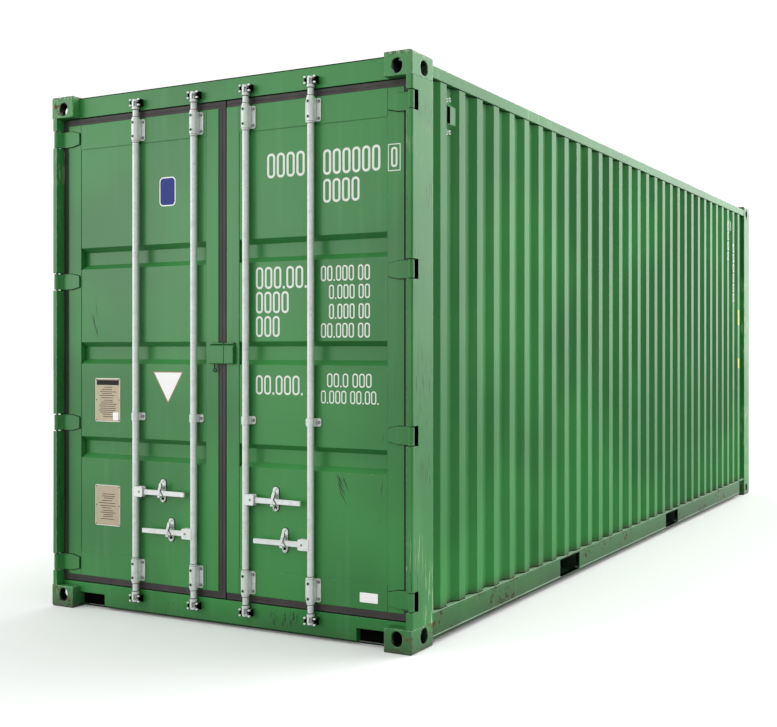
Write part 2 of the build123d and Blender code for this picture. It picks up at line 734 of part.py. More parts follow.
def ventilator(index):
    """The cover in the trough behind one ridge of the right wall."""
    trough = FIRST_RIDGE + index * RIDGE_SPACING + RIDGE_FLAT + RIDGE_SLOPE
    centre = trough + (RIDGE_SPACING - RIDGE_FLAT - 2 * RIDGE_SLOPE) / 2
    half = VENT_HEIGHT / 2
    body = VENT_BODY / 2
    bevel = VENT_DEPTH
    section = [
        (WALL_INNER, VENT_LEVEL - half),
        (WALL_INNER + VENT_EAR, VENT_LEVEL - half),
        (WALL_INNER + VENT_EAR, VENT_LEVEL - body),
        (WALL_INNER + VENT_DEPTH, VENT_LEVEL - body + bevel),
        (WALL_INNER + VENT_DEPTH, VENT_LEVEL + body - bevel),
        (WALL_INNER + VENT_EAR, VENT_LEVEL + body),
        (WALL_INNER + VENT_EAR, VENT_LEVEL + half),
        (WALL_INNER, VENT_LEVEL + half),
    ]
    trough_width = RIDGE_SPACING - RIDGE_FLAT - 2 * RIDGE_SLOPE
    flank = [
        (WALL_INNER, centre - trough_width / 2),
        (WALL_INNER + VENT_DEPTH, centre - VENT_WIDTH / 2),
        (WALL_INNER + VENT_DEPTH, centre + VENT_WIDTH / 2),
        (WALL_INNER, centre + trough_width / 2),
    ]
    cover = front_profile(section, centre - VENT_WIDTH / 2, centre + VENT_WIDTH / 2)
    return cover & plan(flank, VENT_LEVEL - half, VENT_LEVEL + half)


right_vents = [ventilator(i) for i in VENT_RIDGES]
left_vents = [other_side(v) for v in right_vents]
save(Compound(children=right_vents + left_vents), "ventilators")


# Door leaves
# Each leaf is a welded frame of rectangular tube with one sheet let into it.
# Three level troughs are pressed into the sheet. A rubber seal runs round the leaf.

def leaf_frame():
    """The tube frame of the right leaf."""
    ring = block(LEAF_INNER_EDGE, LEAF_OUTER_EDGE, DOOR_RECESS, LEAF_BACK, LEAF_LOW, LEAF_HIGH)
    x0 = LEAF_INNER_EDGE + STILE_INNER
    x1 = LEAF_OUTER_EDGE - STILE_OUTER
    z0 = LEAF_LOW + LEAF_RAIL_LOW
    z1 = LEAF_HIGH - LEAF_RAIL_TOP
    ring = ring - block(x0, x1, DOOR_RECESS, LEAF_BACK, z0, z1)
    wall = LEAF_WALL
    core = block(
        LEAF_INNER_EDGE + wall, LEAF_OUTER_EDGE - wall, DOOR_RECESS + wall, LEAF_BACK - wall,
        LEAF_LOW + wall, LEAF_HIGH - wall,
    )
    core = core - block(x0 - wall, x1 + wall, DOOR_RECESS, LEAF_BACK, z0 - wall, z1 + wall)
    return ring - core


def leaf_panel():
    """The pressed sheet of the right leaf."""
    z0 = LEAF_LOW + LEAF_RAIL_LOW
    z1 = LEAF_HIGH - LEAF_RAIL_TOP
    slope = (RIB_HEIGHT - RIB_FLOOR) / 2
    front = [(z0, PANEL_FACE)]
    for centre in RIB_CENTRES:
        front.append((centre - RIB_HEIGHT / 2, PANEL_FACE))
        front.append((centre - RIB_HEIGHT / 2 + slope, PANEL_FACE + RIB_DEPTH))
        front.append((centre + RIB_HEIGHT / 2 - slope, PANEL_FACE + RIB_DEPTH))
        front.append((centre + RIB_HEIGHT / 2, PANEL_FACE))
    front.append((z1, PANEL_FACE))
    back = [(z, d + SHEET) for z, d in reversed(front)]
    outline = [(d, z) for z, d in front + back]
    return side_profile(outline, LEAF_INNER_EDGE + STILE_INNER, LEAF_OUTER_EDGE - STILE_OUTER)


def leaf_gasket(centre_edge):
    """The seal round the right leaf, reaching to centre_edge on its free side."""
    d0 = DOOR_RECESS + GASKET_RECESS
    d1 = d0 + GASKET_THICKNESS
    band = block(centre_edge, GASKET_OUTER, d0, d1, GASKET_LOW, GASKET_TOP)
    return band - block(LEAF_INNER_EDGE, LEAF_OUTER_EDGE, d0, d1, LEAF_LOW, LEAF_HIGH)


right_frame = leaf_frame()
right_panel = leaf_panel()
save(right_frame, "door_right_frame")
save(other_side(right_frame), "door_left_frame")
save(right_panel, "door_right_panel")
save(other_side(right_panel), "door_left_panel")
left_seal_reach = -(LEAF_INNER_EDGE - CENTRE_GAP)
save(leaf_gasket(LEAF_INNER_EDGE), "door_right_gasket")
save(other_side(leaf_gasket(left_seal_reach)), "door_left_gasket")


# Hinge blades
# A tapered strap lies on the leaf, crosses the seal and steps out to a round
# knuckle that turns on the pin in the post's cut-away corner.

def hinge_blade(z):
    """One strap and knuckle of the right leaf."""
    front = DOOR_RECESS - BLADE_THICKNESS
    half = BLADE_HEIGHT / 2
    tip_half = BLADE_TIP_HEIGHT / 2
    strap = [
        (BLADE_TIP, front),
        (PIN_X - BLADE_STEP, front),
        (PIN_X - KNUCKLE_RADIUS, PIN_DEPTH),
        (PIN_X, PIN_DEPTH),
        (PIN_X, PIN_DEPTH + KNUCKLE_RADIUS),
        (PIN_X - BLADE_HEEL, DOOR_RECESS),
        (BLADE_TIP, DOOR_RECESS),
    ]
    blade = plan(strap, z - half, z + half)
    face = [
        (BLADE_TIP, z - tip_half),
        (BLADE_TIP + BLADE_TAPER, z - half),
        (SIDE, z - half),
        (SIDE, z + half),
        (BLADE_TIP + BLADE_TAPER, z + half),
        (BLADE_TIP, z + tip_half),
    ]
    blade = blade & front_profile(face, 0, DOOR_RECESS)
    blade = blade + upright(PIN_X, PIN_DEPTH, KNUCKLE_RADIUS, z - half, z + half)
    return blade - upright(PIN_X, PIN_DEPTH, PIN_RADIUS + PIN_CLEARANCE, z - half, z + half)


right_blades = [hinge_blade(z) for z in HINGE_HEIGHTS]
save(Compound(children=right_blades), "door_right_hinges")
save(Compound(children=[other_side(b) for b in right_blades]), "door_left_hinges")


# Lock gear
# Each leaf carries two upright bars. A bar turns in a bearing at its top and foot
# and in a guide at mid height. Its ends carry cams that sit in keepers on the
# header and the sill. A handle on a hub turns the bar and rests in a catch.

def flange_plate(x, z, width, height, back):
    """A flat plate with round corners, its back face at this depth."""
    face = fillet(Rectangle(width, height).vertices(), FLANGE_RADIUS)
    facing = Plane(origin=(x, y_at(back), z), x_dir=(1, 0, 0), z_dir=(0, -1, 0))
    return extrude(facing * face, FLANGE_PLATE)


def bearing(x, z, height, radius, back):
    """A saddle round the bar on a flat flange."""
    z0 = z - height / 2
    z1 = z + height / 2
    saddle = upright(x, ROD_DEPTH, radius, z0, z1)
    saddle = saddle + block(x - radius, x + radius, ROD_DEPTH, back, z0, z1)
    saddle = saddle + flange_plate(x, z, FLANGE_WIDTH, height, back)
    return saddle - upright(x, ROD_DEPTH, ROD_RADIUS + SADDLE_CLEARANCE, z0, z1)


def bearings(places):
    """The two end bearings and the guide of each bar on one leaf."""
    pieces = []
    for x in places:
        for z in (LOW_BEARING, TOP_BEARING):
            pieces.append(bearing(x, z, SADDLE_HEIGHT, SADDLE_RADIUS, DOOR_RECESS))
        pieces.append(bearing(x, GUIDE_LEVEL, GUIDE_HEIGHT, GUIDE_RADIUS, PANEL_FACE))
    return pieces


def stacked(x, level, direction, turns):
    """Turned lengths of a bar, one past the other, given as radius and length."""
    shape = None
    for radius, length in turns:
        z0, z1 = sorted((level, level + direction * length))
        length_of_bar = upright(x, ROD_DEPTH, radius, z0, z1)
        shape = length_of_bar if shape is None else shape + length_of_bar
        level = level + direction * length
    return shape


def bar_end(x, level, direction):
    """A ring, a neck with the cam on it, and a cap past the cam."""
    ring = (RING_RADIUS, RING_HEIGHT)
    neck = (NECK_RADIUS, NECK_LENGTH)
    cap = (END_CAP_RADIUS, END_CAP_HEIGHT)
    end = stacked(x, level, direction, (ring, neck, cap))
    neck_start = level + direction * RING_HEIGHT
    z0, z1 = sorted((neck_start, neck_start + direction * NECK_LENGTH))
    half = CAM_WIDTH / 2
    return end + block(x - half, x + half, ROD_DEPTH - CAM_REACH, ROD_DEPTH, z0, z1)


def lock_bar(x):
    """The bar with its collars beside the bearings, its spindles and its two ends."""
    reach = SADDLE_HEIGHT / 2 + SADDLE_CLEARANCE
    rod_foot = LOW_BEARING - reach - COLLAR_HEIGHT
    rod_top = TOP_BEARING + reach + COLLAR_HEIGHT
    bar = upright(x, ROD_DEPTH, ROD_RADIUS, rod_foot, rod_top)
    bar = bar + upright(x, ROD_DEPTH, SPINDLE_RADIUS, LOW_RING, rod_foot)
    bar = bar + upright(x, ROD_DEPTH, SPINDLE_RADIUS, rod_top, TOP_RING)
    bar = bar + bar_end(x, LOW_RING, -1) + bar_end(x, TOP_RING, 1)
    for level in (LOW_BEARING, TOP_BEARING):
        for z0 in (level - reach - COLLAR_HEIGHT, level + reach):
            bar = bar + upright(x, ROD_DEPTH, COLLAR_RADIUS, z0, z0 + COLLAR_HEIGHT)
    return bar


def handle_hub(x, level, turn):
    """The fork welded to the bar, with the pin that the handle hangs on."""
    half = HUB_HEIGHT / 2
    corner = HUB_CORNER
    far = x + turn * HUB_REACH
    d0 = HANDLE_DEPTH - HUB_GAP
    d1 = HANDLE_DEPTH + HANDLE_THICKNESS + HUB_GAP
    cheek = [
        (x, level - half),
        (far - turn * corner, level - half),
        (far, level - half + corner),
        (far, level + half - corner),
        (far - turn * corner, level + half),
        (x, level + half),
    ]
    hub = front_profile(cheek, d0 - HUB_PLATE, d0) + front_profile(cheek, d1, d1 + HUB_PLATE)
    hub = hub + block(x, x + turn * HUB_WEB, d0, d1, level - half, level + half)
    hub = hub - upright(x, ROD_DEPTH, ROD_RADIUS, level - half, level + half)
    return hub + inward(x + turn * HANDLE_PIVOT, level, HANDLE_PIN_RADIUS, d0, d1)


def handle(x, level, turn):
    """The flat tapering lever that hangs on the hub's pin, its corners rounded at the grip."""
    d0 = HANDLE_DEPTH
    d1 = HANDLE_DEPTH + HANDLE_THICKNESS
    pivot = x + turn * HANDLE_PIVOT
    far = x + turn * HANDLE_LENGTH
    half = HANDLE_HEIGHT / 2
    outline = [
        (pivot, level - half),
        (far, level - half),
        (far, level - half + HANDLE_GRIP),
        (pivot, level + half),
    ]
    lever = front_profile(outline, d0, d1)
    ends = lever.edges().filter_by(Axis.Y).sort_by(Axis.X)
    lever = fillet(ends[-2:] if turn > 0 else ends[:2], HANDLE_CORNER)
    lever = lever + inward(pivot, level, HANDLE_ROOT_RADIUS, d0, d1)
    return lever - inward(pivot, level, HANDLE_PIN_RADIUS + HANDLE_PIN_CLEARANCE, d0, d1)


def catch(x, level, turn):
    """The oval plate behind a handle, with a ledge below the lever and a knob above."""
    centre = x + turn * CATCH_OFFSET
    middle = level + CATCH_RISE
    oval = SlotOverall(CATCH_HEIGHT, CATCH_WIDTH, rotation=90)
    facing = Plane(origin=(centre, y_at(PANEL_FACE), middle), x_dir=(1, 0, 0), z_dir=(0, -1, 0))
    plate = extrude(facing * oval, FLANGE_PLATE)
    face = PANEL_FACE - FLANGE_PLATE
    ledge_top = level - HANDLE_HEIGHT / 2 - CATCH_CLEARANCE
    half = CATCH_WIDTH / 2 - CATCH_LEDGE
    plate = plate + block(
        centre - half, centre + half, HANDLE_DEPTH, face, ledge_top - CATCH_LEDGE, ledge_top
    )
    knob_level = level + HANDLE_HEIGHT / 2 + CATCH_CLEARANCE + CATCH_KNOB_RADIUS
    return plate + inward(centre, knob_level, CATCH_KNOB_RADIUS, face - CATCH_KNOB_REACH, face)


def keeper(x, low, high):
    """A bracket on both sides of a bar's cam, open in front, above and below."""
    half = KEEPER_WIDTH / 2
    front = DOOR_RECESS - KEEPER_REACH
    piece = block(x - half, x + half, DOOR_RECESS - KEEPER_PLATE, DOOR_RECESS, low, high)
    for turn in (-1, 1):
        x0, x1 = sorted((x + turn * (half - KEEPER_CHEEK), x + turn * half))
        piece = piece + block(x0, x1, front, DOOR_RECESS, low, high)
    return piece


left_places = ROD_PLACES[:2]
right_places = ROD_PLACES[2:]
save(Compound(children=bearings(left_places)), "door_left_bearings")
save(Compound(children=bearings(right_places)), "door_right_bearings")
gear = list(zip(ROD_PLACES, HANDLE_LEVELS, HANDLE_TURNS))
for number, (x, level, turn) in enumerate(gear, start=1):
    save(lock_bar(x), "lock_bar_" + str(number))
    save(handle_hub(x, level, turn), "handle_hub_" + str(number))
    save(handle(x, level, turn), "handle_" + str(number))
save(Compound(children=[catch(*g) for g in gear[:2]]), "door_left_catches")
save(Compound(children=[catch(*g) for g in gear[2:]]), "door_right_catches")
keepers = []
keeper_start = RING_HEIGHT + KEEPER_CLEARANCE
keeper_end = BAR_END + KEEPER_CLEARANCE
for x in ROD_PLACES:
    keepers.append(keeper(x, LOW_RING - keeper_end, LOW_RING - keeper_start))
    keepers.append(keeper(x, TOP_RING + keeper_start, TOP_RING + keeper_end))
save(Compound(children=keepers), "cam_keepers")


# Seal plate
# A folded plate across the gap between the doors, in two parts so that each leaf
# swings free.

def seal_plate(x0, x1):
    """One part of the plate, flat on the leaf with its top edge folded forward."""
    d0 = DOOR_RECESS - SEAL_PLATE_THICKNESS
    plate = block(x0, x1, d0, DOOR_RECESS, SEAL_PLATE_LOW, SEAL_PLATE_HIGH)
    fold = SEAL_PLATE_HIGH - SEAL_PLATE_THICKNESS
    return plate + block(x0, x1, d0 - SEAL_PLATE_FOLD, d0, fold, SEAL_PLATE_HIGH)


save(seal_plate(SEAL_PLATE_LEFT, LEAF_INNER_EDGE - CENTRE_GAP), "door_left_seal_plate")
save(seal_plate(LEAF_INNER_EDGE, SEAL_PLATE_RIGHT), "door_right_seal_plate")
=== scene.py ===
# %% [markdown]
# A steel freight container in Blender
#
# A 20-foot high-cube container is a welded steel box: four corner posts between cast corners,
# thin folded sheet for walls and roof, and two doors that hang on forged hinges and shut with
# turning bars. All those solids come from the CAD model, already in place and in metres.
# This lesson gives them their finishes and adds what is too small for the CAD model:
# bolts, weld beads, plates, painted numbers, scratches. Then it lights them like the photograph.

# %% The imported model
import bpy
import bmesh
import json
import math
import random
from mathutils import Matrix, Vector


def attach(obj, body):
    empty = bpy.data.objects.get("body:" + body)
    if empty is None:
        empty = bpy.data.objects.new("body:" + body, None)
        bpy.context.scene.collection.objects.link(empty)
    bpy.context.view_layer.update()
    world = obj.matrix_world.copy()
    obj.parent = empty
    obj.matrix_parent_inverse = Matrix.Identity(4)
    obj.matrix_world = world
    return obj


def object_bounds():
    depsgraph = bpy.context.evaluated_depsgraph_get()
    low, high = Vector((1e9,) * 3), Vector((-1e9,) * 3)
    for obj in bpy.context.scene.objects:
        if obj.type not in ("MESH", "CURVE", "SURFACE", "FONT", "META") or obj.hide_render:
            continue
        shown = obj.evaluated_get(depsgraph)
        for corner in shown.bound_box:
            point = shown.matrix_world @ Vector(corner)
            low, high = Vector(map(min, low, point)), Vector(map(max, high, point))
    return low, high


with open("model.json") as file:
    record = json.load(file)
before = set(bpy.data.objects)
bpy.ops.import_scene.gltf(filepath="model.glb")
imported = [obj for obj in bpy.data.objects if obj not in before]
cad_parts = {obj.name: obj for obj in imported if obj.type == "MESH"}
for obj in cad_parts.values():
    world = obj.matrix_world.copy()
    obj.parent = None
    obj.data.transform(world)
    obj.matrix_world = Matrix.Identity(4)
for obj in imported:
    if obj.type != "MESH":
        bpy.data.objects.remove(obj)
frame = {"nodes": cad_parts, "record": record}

nodes = frame["nodes"]
cad_low, cad_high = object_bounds()
print("nodes", len(nodes), "size in metres", [round(s, 3) for s in cad_high - cad_low])

# %% [markdown]
# Workshop drawings of a container give depths from the door end. The helper `at` takes such a
# measure in millimetres: x from the middle, depth in from the foremost plane, z above ground.
# Everything after this can be written with the numbers of a drawing.

# %% Drawing measures to scene metres
DOOR_END = cad_low.y
OUTWARD = Vector((0, -1, 0))
UPWARD = Vector((0, 0, 1))


def at(x, depth, z):
    return Vector((x / 1000, DOOR_END + depth / 1000, z / 1000))


print("door end at y =", round(DOOR_END, 3))

# %% [markdown]
# The photograph was taken from just right of the doors, at half the container's height, with a
# level camera, so all uprights stay upright. Its frame is a crop: the point straight ahead of
# the lens is right of the middle, which a horizontal lens shift reproduces.

# %% Camera of the photograph
FOCAL_LENGTH = 47.27
LOOKS_LEFT = 23.49
STANDS_AT = (3.977, -7.131, 1.460)
LENS_SHIFT = (-0.2722, -0.0177)

photo_camera = bpy.data.cameras.new("photo_camera")
photo_camera.lens = FOCAL_LENGTH
photo_camera.sensor_width = 36
photo_camera.shift_x, photo_camera.shift_y = LENS_SHIFT
viewer = bpy.data.objects.new("photo_camera", photo_camera)
viewer.location = STANDS_AT
viewer.rotation_euler = (math.pi / 2, 0, math.radians(LOOKS_LEFT))
bpy.context.scene.collection.objects.link(viewer)
bpy.context.scene.camera = viewer
print("camera", STANDS_AT, "lens", FOCAL_LENGTH)

# %% [markdown]
# Colours are written as sRGB hex values, as a colour picker shows them on the photograph.
# Shaders work with linear light, so one function turns the one into the other.
# A second helper adds a node with its settings and links and returns one of its outputs, so
# that a material reads as a recipe. Three settings come back often and have short names.

# %% Colour and node helpers
SOFT_CUT = {"interpolation_type": "SMOOTHSTEP"}
TIMES = {"operation": "MULTIPLY"}
TINT = {"data_type": "RGBA", "out": 2}


def colour(hex_value):
    parts = [int(hex_value[i:i + 2], 16) / 255 for i in (1, 3, 5)]
    return tuple(p / 12.92 if p <= 0.04045 else ((p + 0.055) / 1.055) ** 2.4 for p in parts) + (1.0,)


def add(tree, kind, inputs=None, out=0, **settings):
    """One node with its settings; an input is a value or another node's output."""
    made = tree.nodes.new("ShaderNode" + kind)
    for setting, value in settings.items():
        setattr(made, setting, value)
    for socket, value in (inputs or {}).items():
        if isinstance(value, bpy.types.NodeSocket):
            tree.links.new(value, made.inputs[socket])
        else:
            made.inputs[socket].default_value = value
    return made.outputs[out] if made.outputs else None


def per_metre(millimetres):
    """The scale of a pattern whose features are this far apart."""
    return 1000 / millimetres


def blank_material(name):
    """A material without nodes yet, its tree, and the place on the object in metres."""
    material = bpy.data.materials.new(name)
    material.use_nodes = True
    material.node_tree.nodes.clear()
    return material, material.node_tree, add(material.node_tree, "TexCoord", out="Object")


def surface(tree, sockets):
    """The shader of a finish and the output it goes to."""
    add(tree, "OutputMaterial", {"Surface": add(tree, "BsdfPrincipled", sockets)})


print("black and white:", colour("#000000")[:3], colour("#ffffff")[:3])

# %% [markdown]
# Most wear is patchy, and most skins are uneven. A noise cut between two levels gives patches
# of a known size, and a noise on a Bump node gives small hills. Real orange peel has dimples
# a millimetre or two wide, and the pits of cast zinc and the pores of rubber are finer still.
# That would not show at this distance, so they are drawn 6 to 10 mm wide, the finest that does.

# %% Patches and small hills
def patchy(tree, place, spacing, low, high, top=1.0, detail=4.0):
    """A mask that goes softly from 0 to top where a noise passes from low to high."""
    noise = add(tree, "TexNoise", {"Vector": place, "Scale": per_metre(spacing), "Detail": detail})
    limits = {"Value": noise, "From Min": low, "From Max": high, "To Max": top}
    return add(tree, "MapRange", limits, **SOFT_CUT)


def hilly(tree, place, spacing, strength, rise, detail, normal=None):
    """Small hills this far apart and up to this high in mm, on another normal if one is given."""
    noise = add(tree, "TexNoise", {"Vector": place, "Scale": per_metre(spacing), "Detail": detail})
    sockets = {"Height": noise, "Strength": strength, "Distance": rise / 1000}
    if normal:
        sockets["Normal"] = normal
    return add(tree, "Bump", sockets)


print("patches and hills ready")

# %% [markdown]
# Wear follows shape: paint leaves the edges first, and the corners get painted shade.
# A Bevel node gives the normal of a rounded edge; where it differs from the face's own normal
# there is an edge. Ambient Occlusion falls in a corner, so it marks seams, rims and joints.
# Map Range with a smooth step cuts either value into a mask from 0 to 1.

# %% Edges and corners
CORNER_REACH = 0.016


def edges_and_corners(tree, edge_radius):
    rounded = add(tree, "Bevel", {"Radius": edge_radius / 1000}, samples=6)
    flat = add(tree, "NewGeometry", out="Normal")
    facing = add(tree, "VectorMath", {0: rounded, 1: flat}, out="Value", operation="DOT_PRODUCT")
    edge = add(tree, "MapRange", {"Value": facing, "From Min": 0.985, "From Max": 0.9}, **SOFT_CUT)
    # Ambient Occlusion marks the corners, which the enamel darkens as painted shade.
    openness = add(tree, "AmbientOcclusion", {"Distance": CORNER_REACH}, out="AO", samples=6)
    corner = add(tree, "MapRange", {"Value": openness, "From Min": 0.8, "From Max": 0.25}, **SOFT_CUT)
    return rounded, edge, corner


print("edge and corner masks ready")

# %% [markdown]
# The green is a sprayed two-part chassis enamel over zinc primer: a smooth dielectric with an
# IOR near 1.5. Fresh it is semi-gloss; sun and salt dull it unevenly, so its roughness drifts
# between 0.34 and 0.46. What keeps it from looking like plastic: a slow drift of colour, faint
# run-off streaks, the soft waviness of 2 mm sheet, painted shade in the corners and chalky edges.
#
# Parts that get knocked have more of it, so the recipe takes amounts from 0 to 1: wear of the
# edges, rust, scratches, darkening toward the foot, flakes on the top, chalk all over. A lower
# sheen stands for a duller coat. A hollow casting gets painted shade inside, and bands are narrow
# stripes between two heights: painted highlights on a rail's folded edges, painted shade under its flange.

# %% Chassis enamel
ENAMEL_DEEP = "#2a7a36"
ENAMEL_LIGHT = "#389044"
CHALK_AND_HIGHLIGHT_PALE = "#a3c5a4"
CORNER_SHADE = "#12281a"
RUST_DARK = "#3d2b1a"
RUST_OCHRE = "#8a6a3c"
FOOT_DARK = "#2e3627"
SCRATCH_DARK = "#1d3a22"
SCRATCH_PALE = "#c4d2ae"
FLAKE_PALE = "#a3ad92"
CASTING_INSIDE_SHADE = "#10200f"
TOP_OF_CASTING = (2.868, 2.895)
BOX_HALF = (1.219, 3.029, 1.448)
HALF_WITHOUT_CASTINGS = (1.057, 2.851, 1.330)


def inside_castings(tree, place):
    """A mask of everything deeper than a few mm under the outer skin of the eight castings."""
    folded = add(tree, "VectorMath", {0: place, 1: (0, 0, BOX_HALF[2])}, operation="SUBTRACT")
    folded = add(tree, "VectorMath", {0: folded}, operation="ABSOLUTE")
    from_corner = add(tree, "VectorMath", {0: BOX_HALF, 1: folded}, operation="SUBTRACT")
    from_rest = add(tree, "VectorMath", {0: folded, 1: HALF_WITHOUT_CASTINGS}, operation="SUBTRACT")
    nearest = add(tree, "VectorMath", {0: from_corner, 1: from_rest}, operation="MINIMUM")
    x, y, z = [add(tree, "SeparateXYZ", {"Vector": nearest}, out=axis) for axis in "XYZ"]
    least = add(tree, "Math", {0: x, 1: y}, operation="MINIMUM")
    least = add(tree, "Math", {0: least, 1: z}, operation="MINIMUM")
    return add(tree, "MapRange", {"Value": least, "From Min": 0.001, "From Max": 0.007}, **SOFT_CUT)


def chassis_enamel(name, wear, rust=0.0, scratches=0.0, darker_foot=0.0, foot_height=0.15,
                   foot_level=0.0, chipped_top=0.0, edge_radius=4, sheen=0.5, chalk=0.0,
                   hollow=False, bands=()):
    material, tree, place = blank_material(name)
    height = add(tree, "SeparateXYZ", {"Vector": place}, out="Z")
    drift = add(tree, "TexNoise", {"Vector": place, "Scale": per_metre(900), "Detail": 2.0})
    grit = add(tree, "TexNoise", {"Vector": place, "Scale": per_metre(20), "Detail": 6.0})
    patches = add(tree, "TexNoise", {"Vector": place, "Scale": per_metre(260), "Detail": 3.0})
    light = add(tree, "MapRange", {"Value": drift, "From Min": 0.35, "From Max": 0.65}, **SOFT_CUT)
    tone = add(tree, "Mix", {0: light, 6: colour(ENAMEL_DEEP), 7: colour(ENAMEL_LIGHT)}, **TINT)

    run_off = add(tree, "Mapping", {"Vector": place, "Scale": (1, 1, 0.05)})
    streaks = add(tree, "TexNoise", {"Vector": run_off, "Scale": per_metre(60), "Detail": 4.0})
    limits = {"Value": streaks, "From Min": 0.5, "From Max": 0.8, "To Min": chalk, "To Max": chalk + 0.07}
    streaks = add(tree, "MapRange", limits, **SOFT_CUT)
    tone = add(tree, "Mix", {0: streaks, 6: tone, 7: colour(CHALK_AND_HIGHLIGHT_PALE)}, **TINT)

    rounded, edge, corner = edges_and_corners(tree, edge_radius)
    # Painted shade in the corners, uneven in strength.
    limits = {"Value": patches, "From Min": 0.3, "From Max": 0.7, "To Min": 0.55, "To Max": 1.0}
    corner_shade = add(tree, "Math", {0: corner, 1: add(tree, "MapRange", limits)}, **TIMES)
    tone = add(tree, "Mix", {0: corner_shade, 6: tone, 7: colour(CORNER_SHADE)}, **TINT)

    chip_level = 0.62 - wear * 0.16
    limits = {"Value": grit, "From Min": chip_level, "From Max": chip_level + 0.06}
    chips = add(tree, "MapRange", limits, **SOFT_CUT)
    chips = add(tree, "Math", {0: chips, 1: edge}, **TIMES)
    chips = add(tree, "Math", {0: chips, 1: 0.35 + 0.4 * wear}, **TIMES)
    tone = add(tree, "Mix", {0: chips, 6: tone, 7: colour(CHALK_AND_HIGHLIGHT_PALE)}, **TINT)

    if scratches:
        leaning = add(tree, "Mapping", {"Vector": place, "Rotation": (0.12, 0, 0), "Scale": (150, 150, 8)})
        lines = add(tree, "TexNoise", {"Vector": leaning, "Scale": 1.0, "Detail": 3.0})
        lines = add(tree, "MapRange", {"Value": lines, "From Min": 0.58, "From Max": 0.62}, **SOFT_CUT)
        limits = {"Value": patches, "From Min": 0.42, "From Max": 0.58, "To Max": scratches}
        lines = add(tree, "Math", {0: lines, 1: add(tree, "MapRange", limits, **SOFT_CUT)}, **TIMES)
        bare = add(tree, "MapRange", {"Value": drift, "From Min": 0.48, "From Max": 0.52})
        bare = add(tree, "Mix", {0: bare, 6: colour(SCRATCH_DARK), 7: colour(SCRATCH_PALE)}, **TINT)
        tone = add(tree, "Mix", {0: lines, 6: tone, 7: bare}, **TINT)

    gloss = add(tree, "MapRange", {"Value": drift, "To Min": 0.34, "To Max": 0.46})
    if rust:
        scabs = {"Vector": place, "Scale": per_metre(45), "Detail": 8.0, "Roughness": 0.65}
        scabs = add(tree, "TexNoise", scabs)
        limits = {"Value": scabs, "From Min": 0.62 - 0.07 * rust, "From Max": 0.66 - 0.07 * rust}
        scabs = add(tree, "MapRange", limits, **SOFT_CUT)
        limits = {"Value": patches, "From Min": 0.6 - 0.14 * rust, "From Max": 0.7 - 0.14 * rust}
        where = add(tree, "MapRange", limits, **SOFT_CUT)
        scabs = add(tree, "Math", {0: scabs, 1: where}, **TIMES)
        flaked = add(tree, "MapRange", {"Value": grit, "From Min": 0.56, "From Max": 0.5}, **SOFT_CUT)
        flaked = add(tree, "Math", {0: flaked, 1: edge}, **TIMES)
        flaked = add(tree, "Math", {0: flaked, 1: where}, **TIMES)
        rusty = add(tree, "Math", {0: scabs, 1: flaked}, operation="MAXIMUM")
        rusty = add(tree, "Math", {0: rusty, 1: rust}, **TIMES)
        rust_tone = add(tree, "Mix", {0: grit, 6: colour(RUST_DARK), 7: colour(RUST_OCHRE)}, **TINT)
        tone = add(tree, "Mix", {0: rusty, 6: tone, 7: rust_tone}, **TINT)
        gloss = add(tree, "Math", {0: gloss, 1: rusty}, operation="MAXIMUM")

    if chipped_top:
        low, high = TOP_OF_CASTING
        limits = {"Value": height, "From Min": low, "From Max": high, "To Max": chipped_top}
        top = add(tree, "MapRange", limits, **SOFT_CUT)
        for start, full, paint in ((0.55, 0.58, FLAKE_PALE), (0.47, 0.43, RUST_DARK)):
            flakes = add(tree, "Math", {0: patchy(tree, place, 14, start, full), 1: top}, **TIMES)
            tone = add(tree, "Mix", {0: flakes, 6: tone, 7: colour(paint)}, **TINT)

    # Darker toward the foot, and rust in its lowest few centimetres.
    if darker_foot:
        uneven = add(tree, "MapRange", {"Value": patches, "To Min": 0.6, "To Max": 1.1})
        worn = add(tree, "MapRange", {"Value": grit, "From Min": 0.35, "From Max": 0.55}, **SOFT_CUT)
        coats = ((foot_height, 0, uneven, FOOT_DARK), (0.03, 0.002, worn, RUST_DARK))
        for start, full, mask, foot_tone in coats:
            limits = {"Value": height, "From Min": foot_level + start, "From Max": foot_level + full}
            limits["To Max"] = darker_foot
            foot = add(tree, "MapRange", limits, **SOFT_CUT)
            foot = add(tree, "Math", {0: foot, 1: mask}, **TIMES)
            tone = add(tree, "Mix", {0: foot, 6: tone, 7: colour(foot_tone)}, **TINT)

    # Painted highlights and painted shade in narrow stripes between two heights.
    for low, high, strength, paint in bands:
        above = add(tree, "MapRange", {"Value": height, "From Min": low, "From Max": low + 0.001})
        limits = {"Value": height, "From Min": high + 0.001, "From Max": high, "To Max": strength}
        band = add(tree, "Math", {0: above, 1: add(tree, "MapRange", limits)}, **TIMES)
        tone = add(tree, "Mix", {0: band, 6: tone, 7: colour(paint)}, **TINT)

    # Painted shade inside the hollow castings.
    if hollow:
        tone = add(tree, "Mix", {0: inside_castings(tree, place), 6: tone, 7: colour(CASTING_INSIDE_SHADE)}, **TINT)

    sheet = hilly(tree, place, 420, 0.35, 6, 1.0, rounded)
    peel = hilly(tree, place, 9, 0.08, 1, 2.0, sheet)
    surface(tree, {"Base Color": tone, "Roughness": gloss, "Normal": peel, "IOR": 1.5,
                   "Specular IOR Level": sheen})
    return material
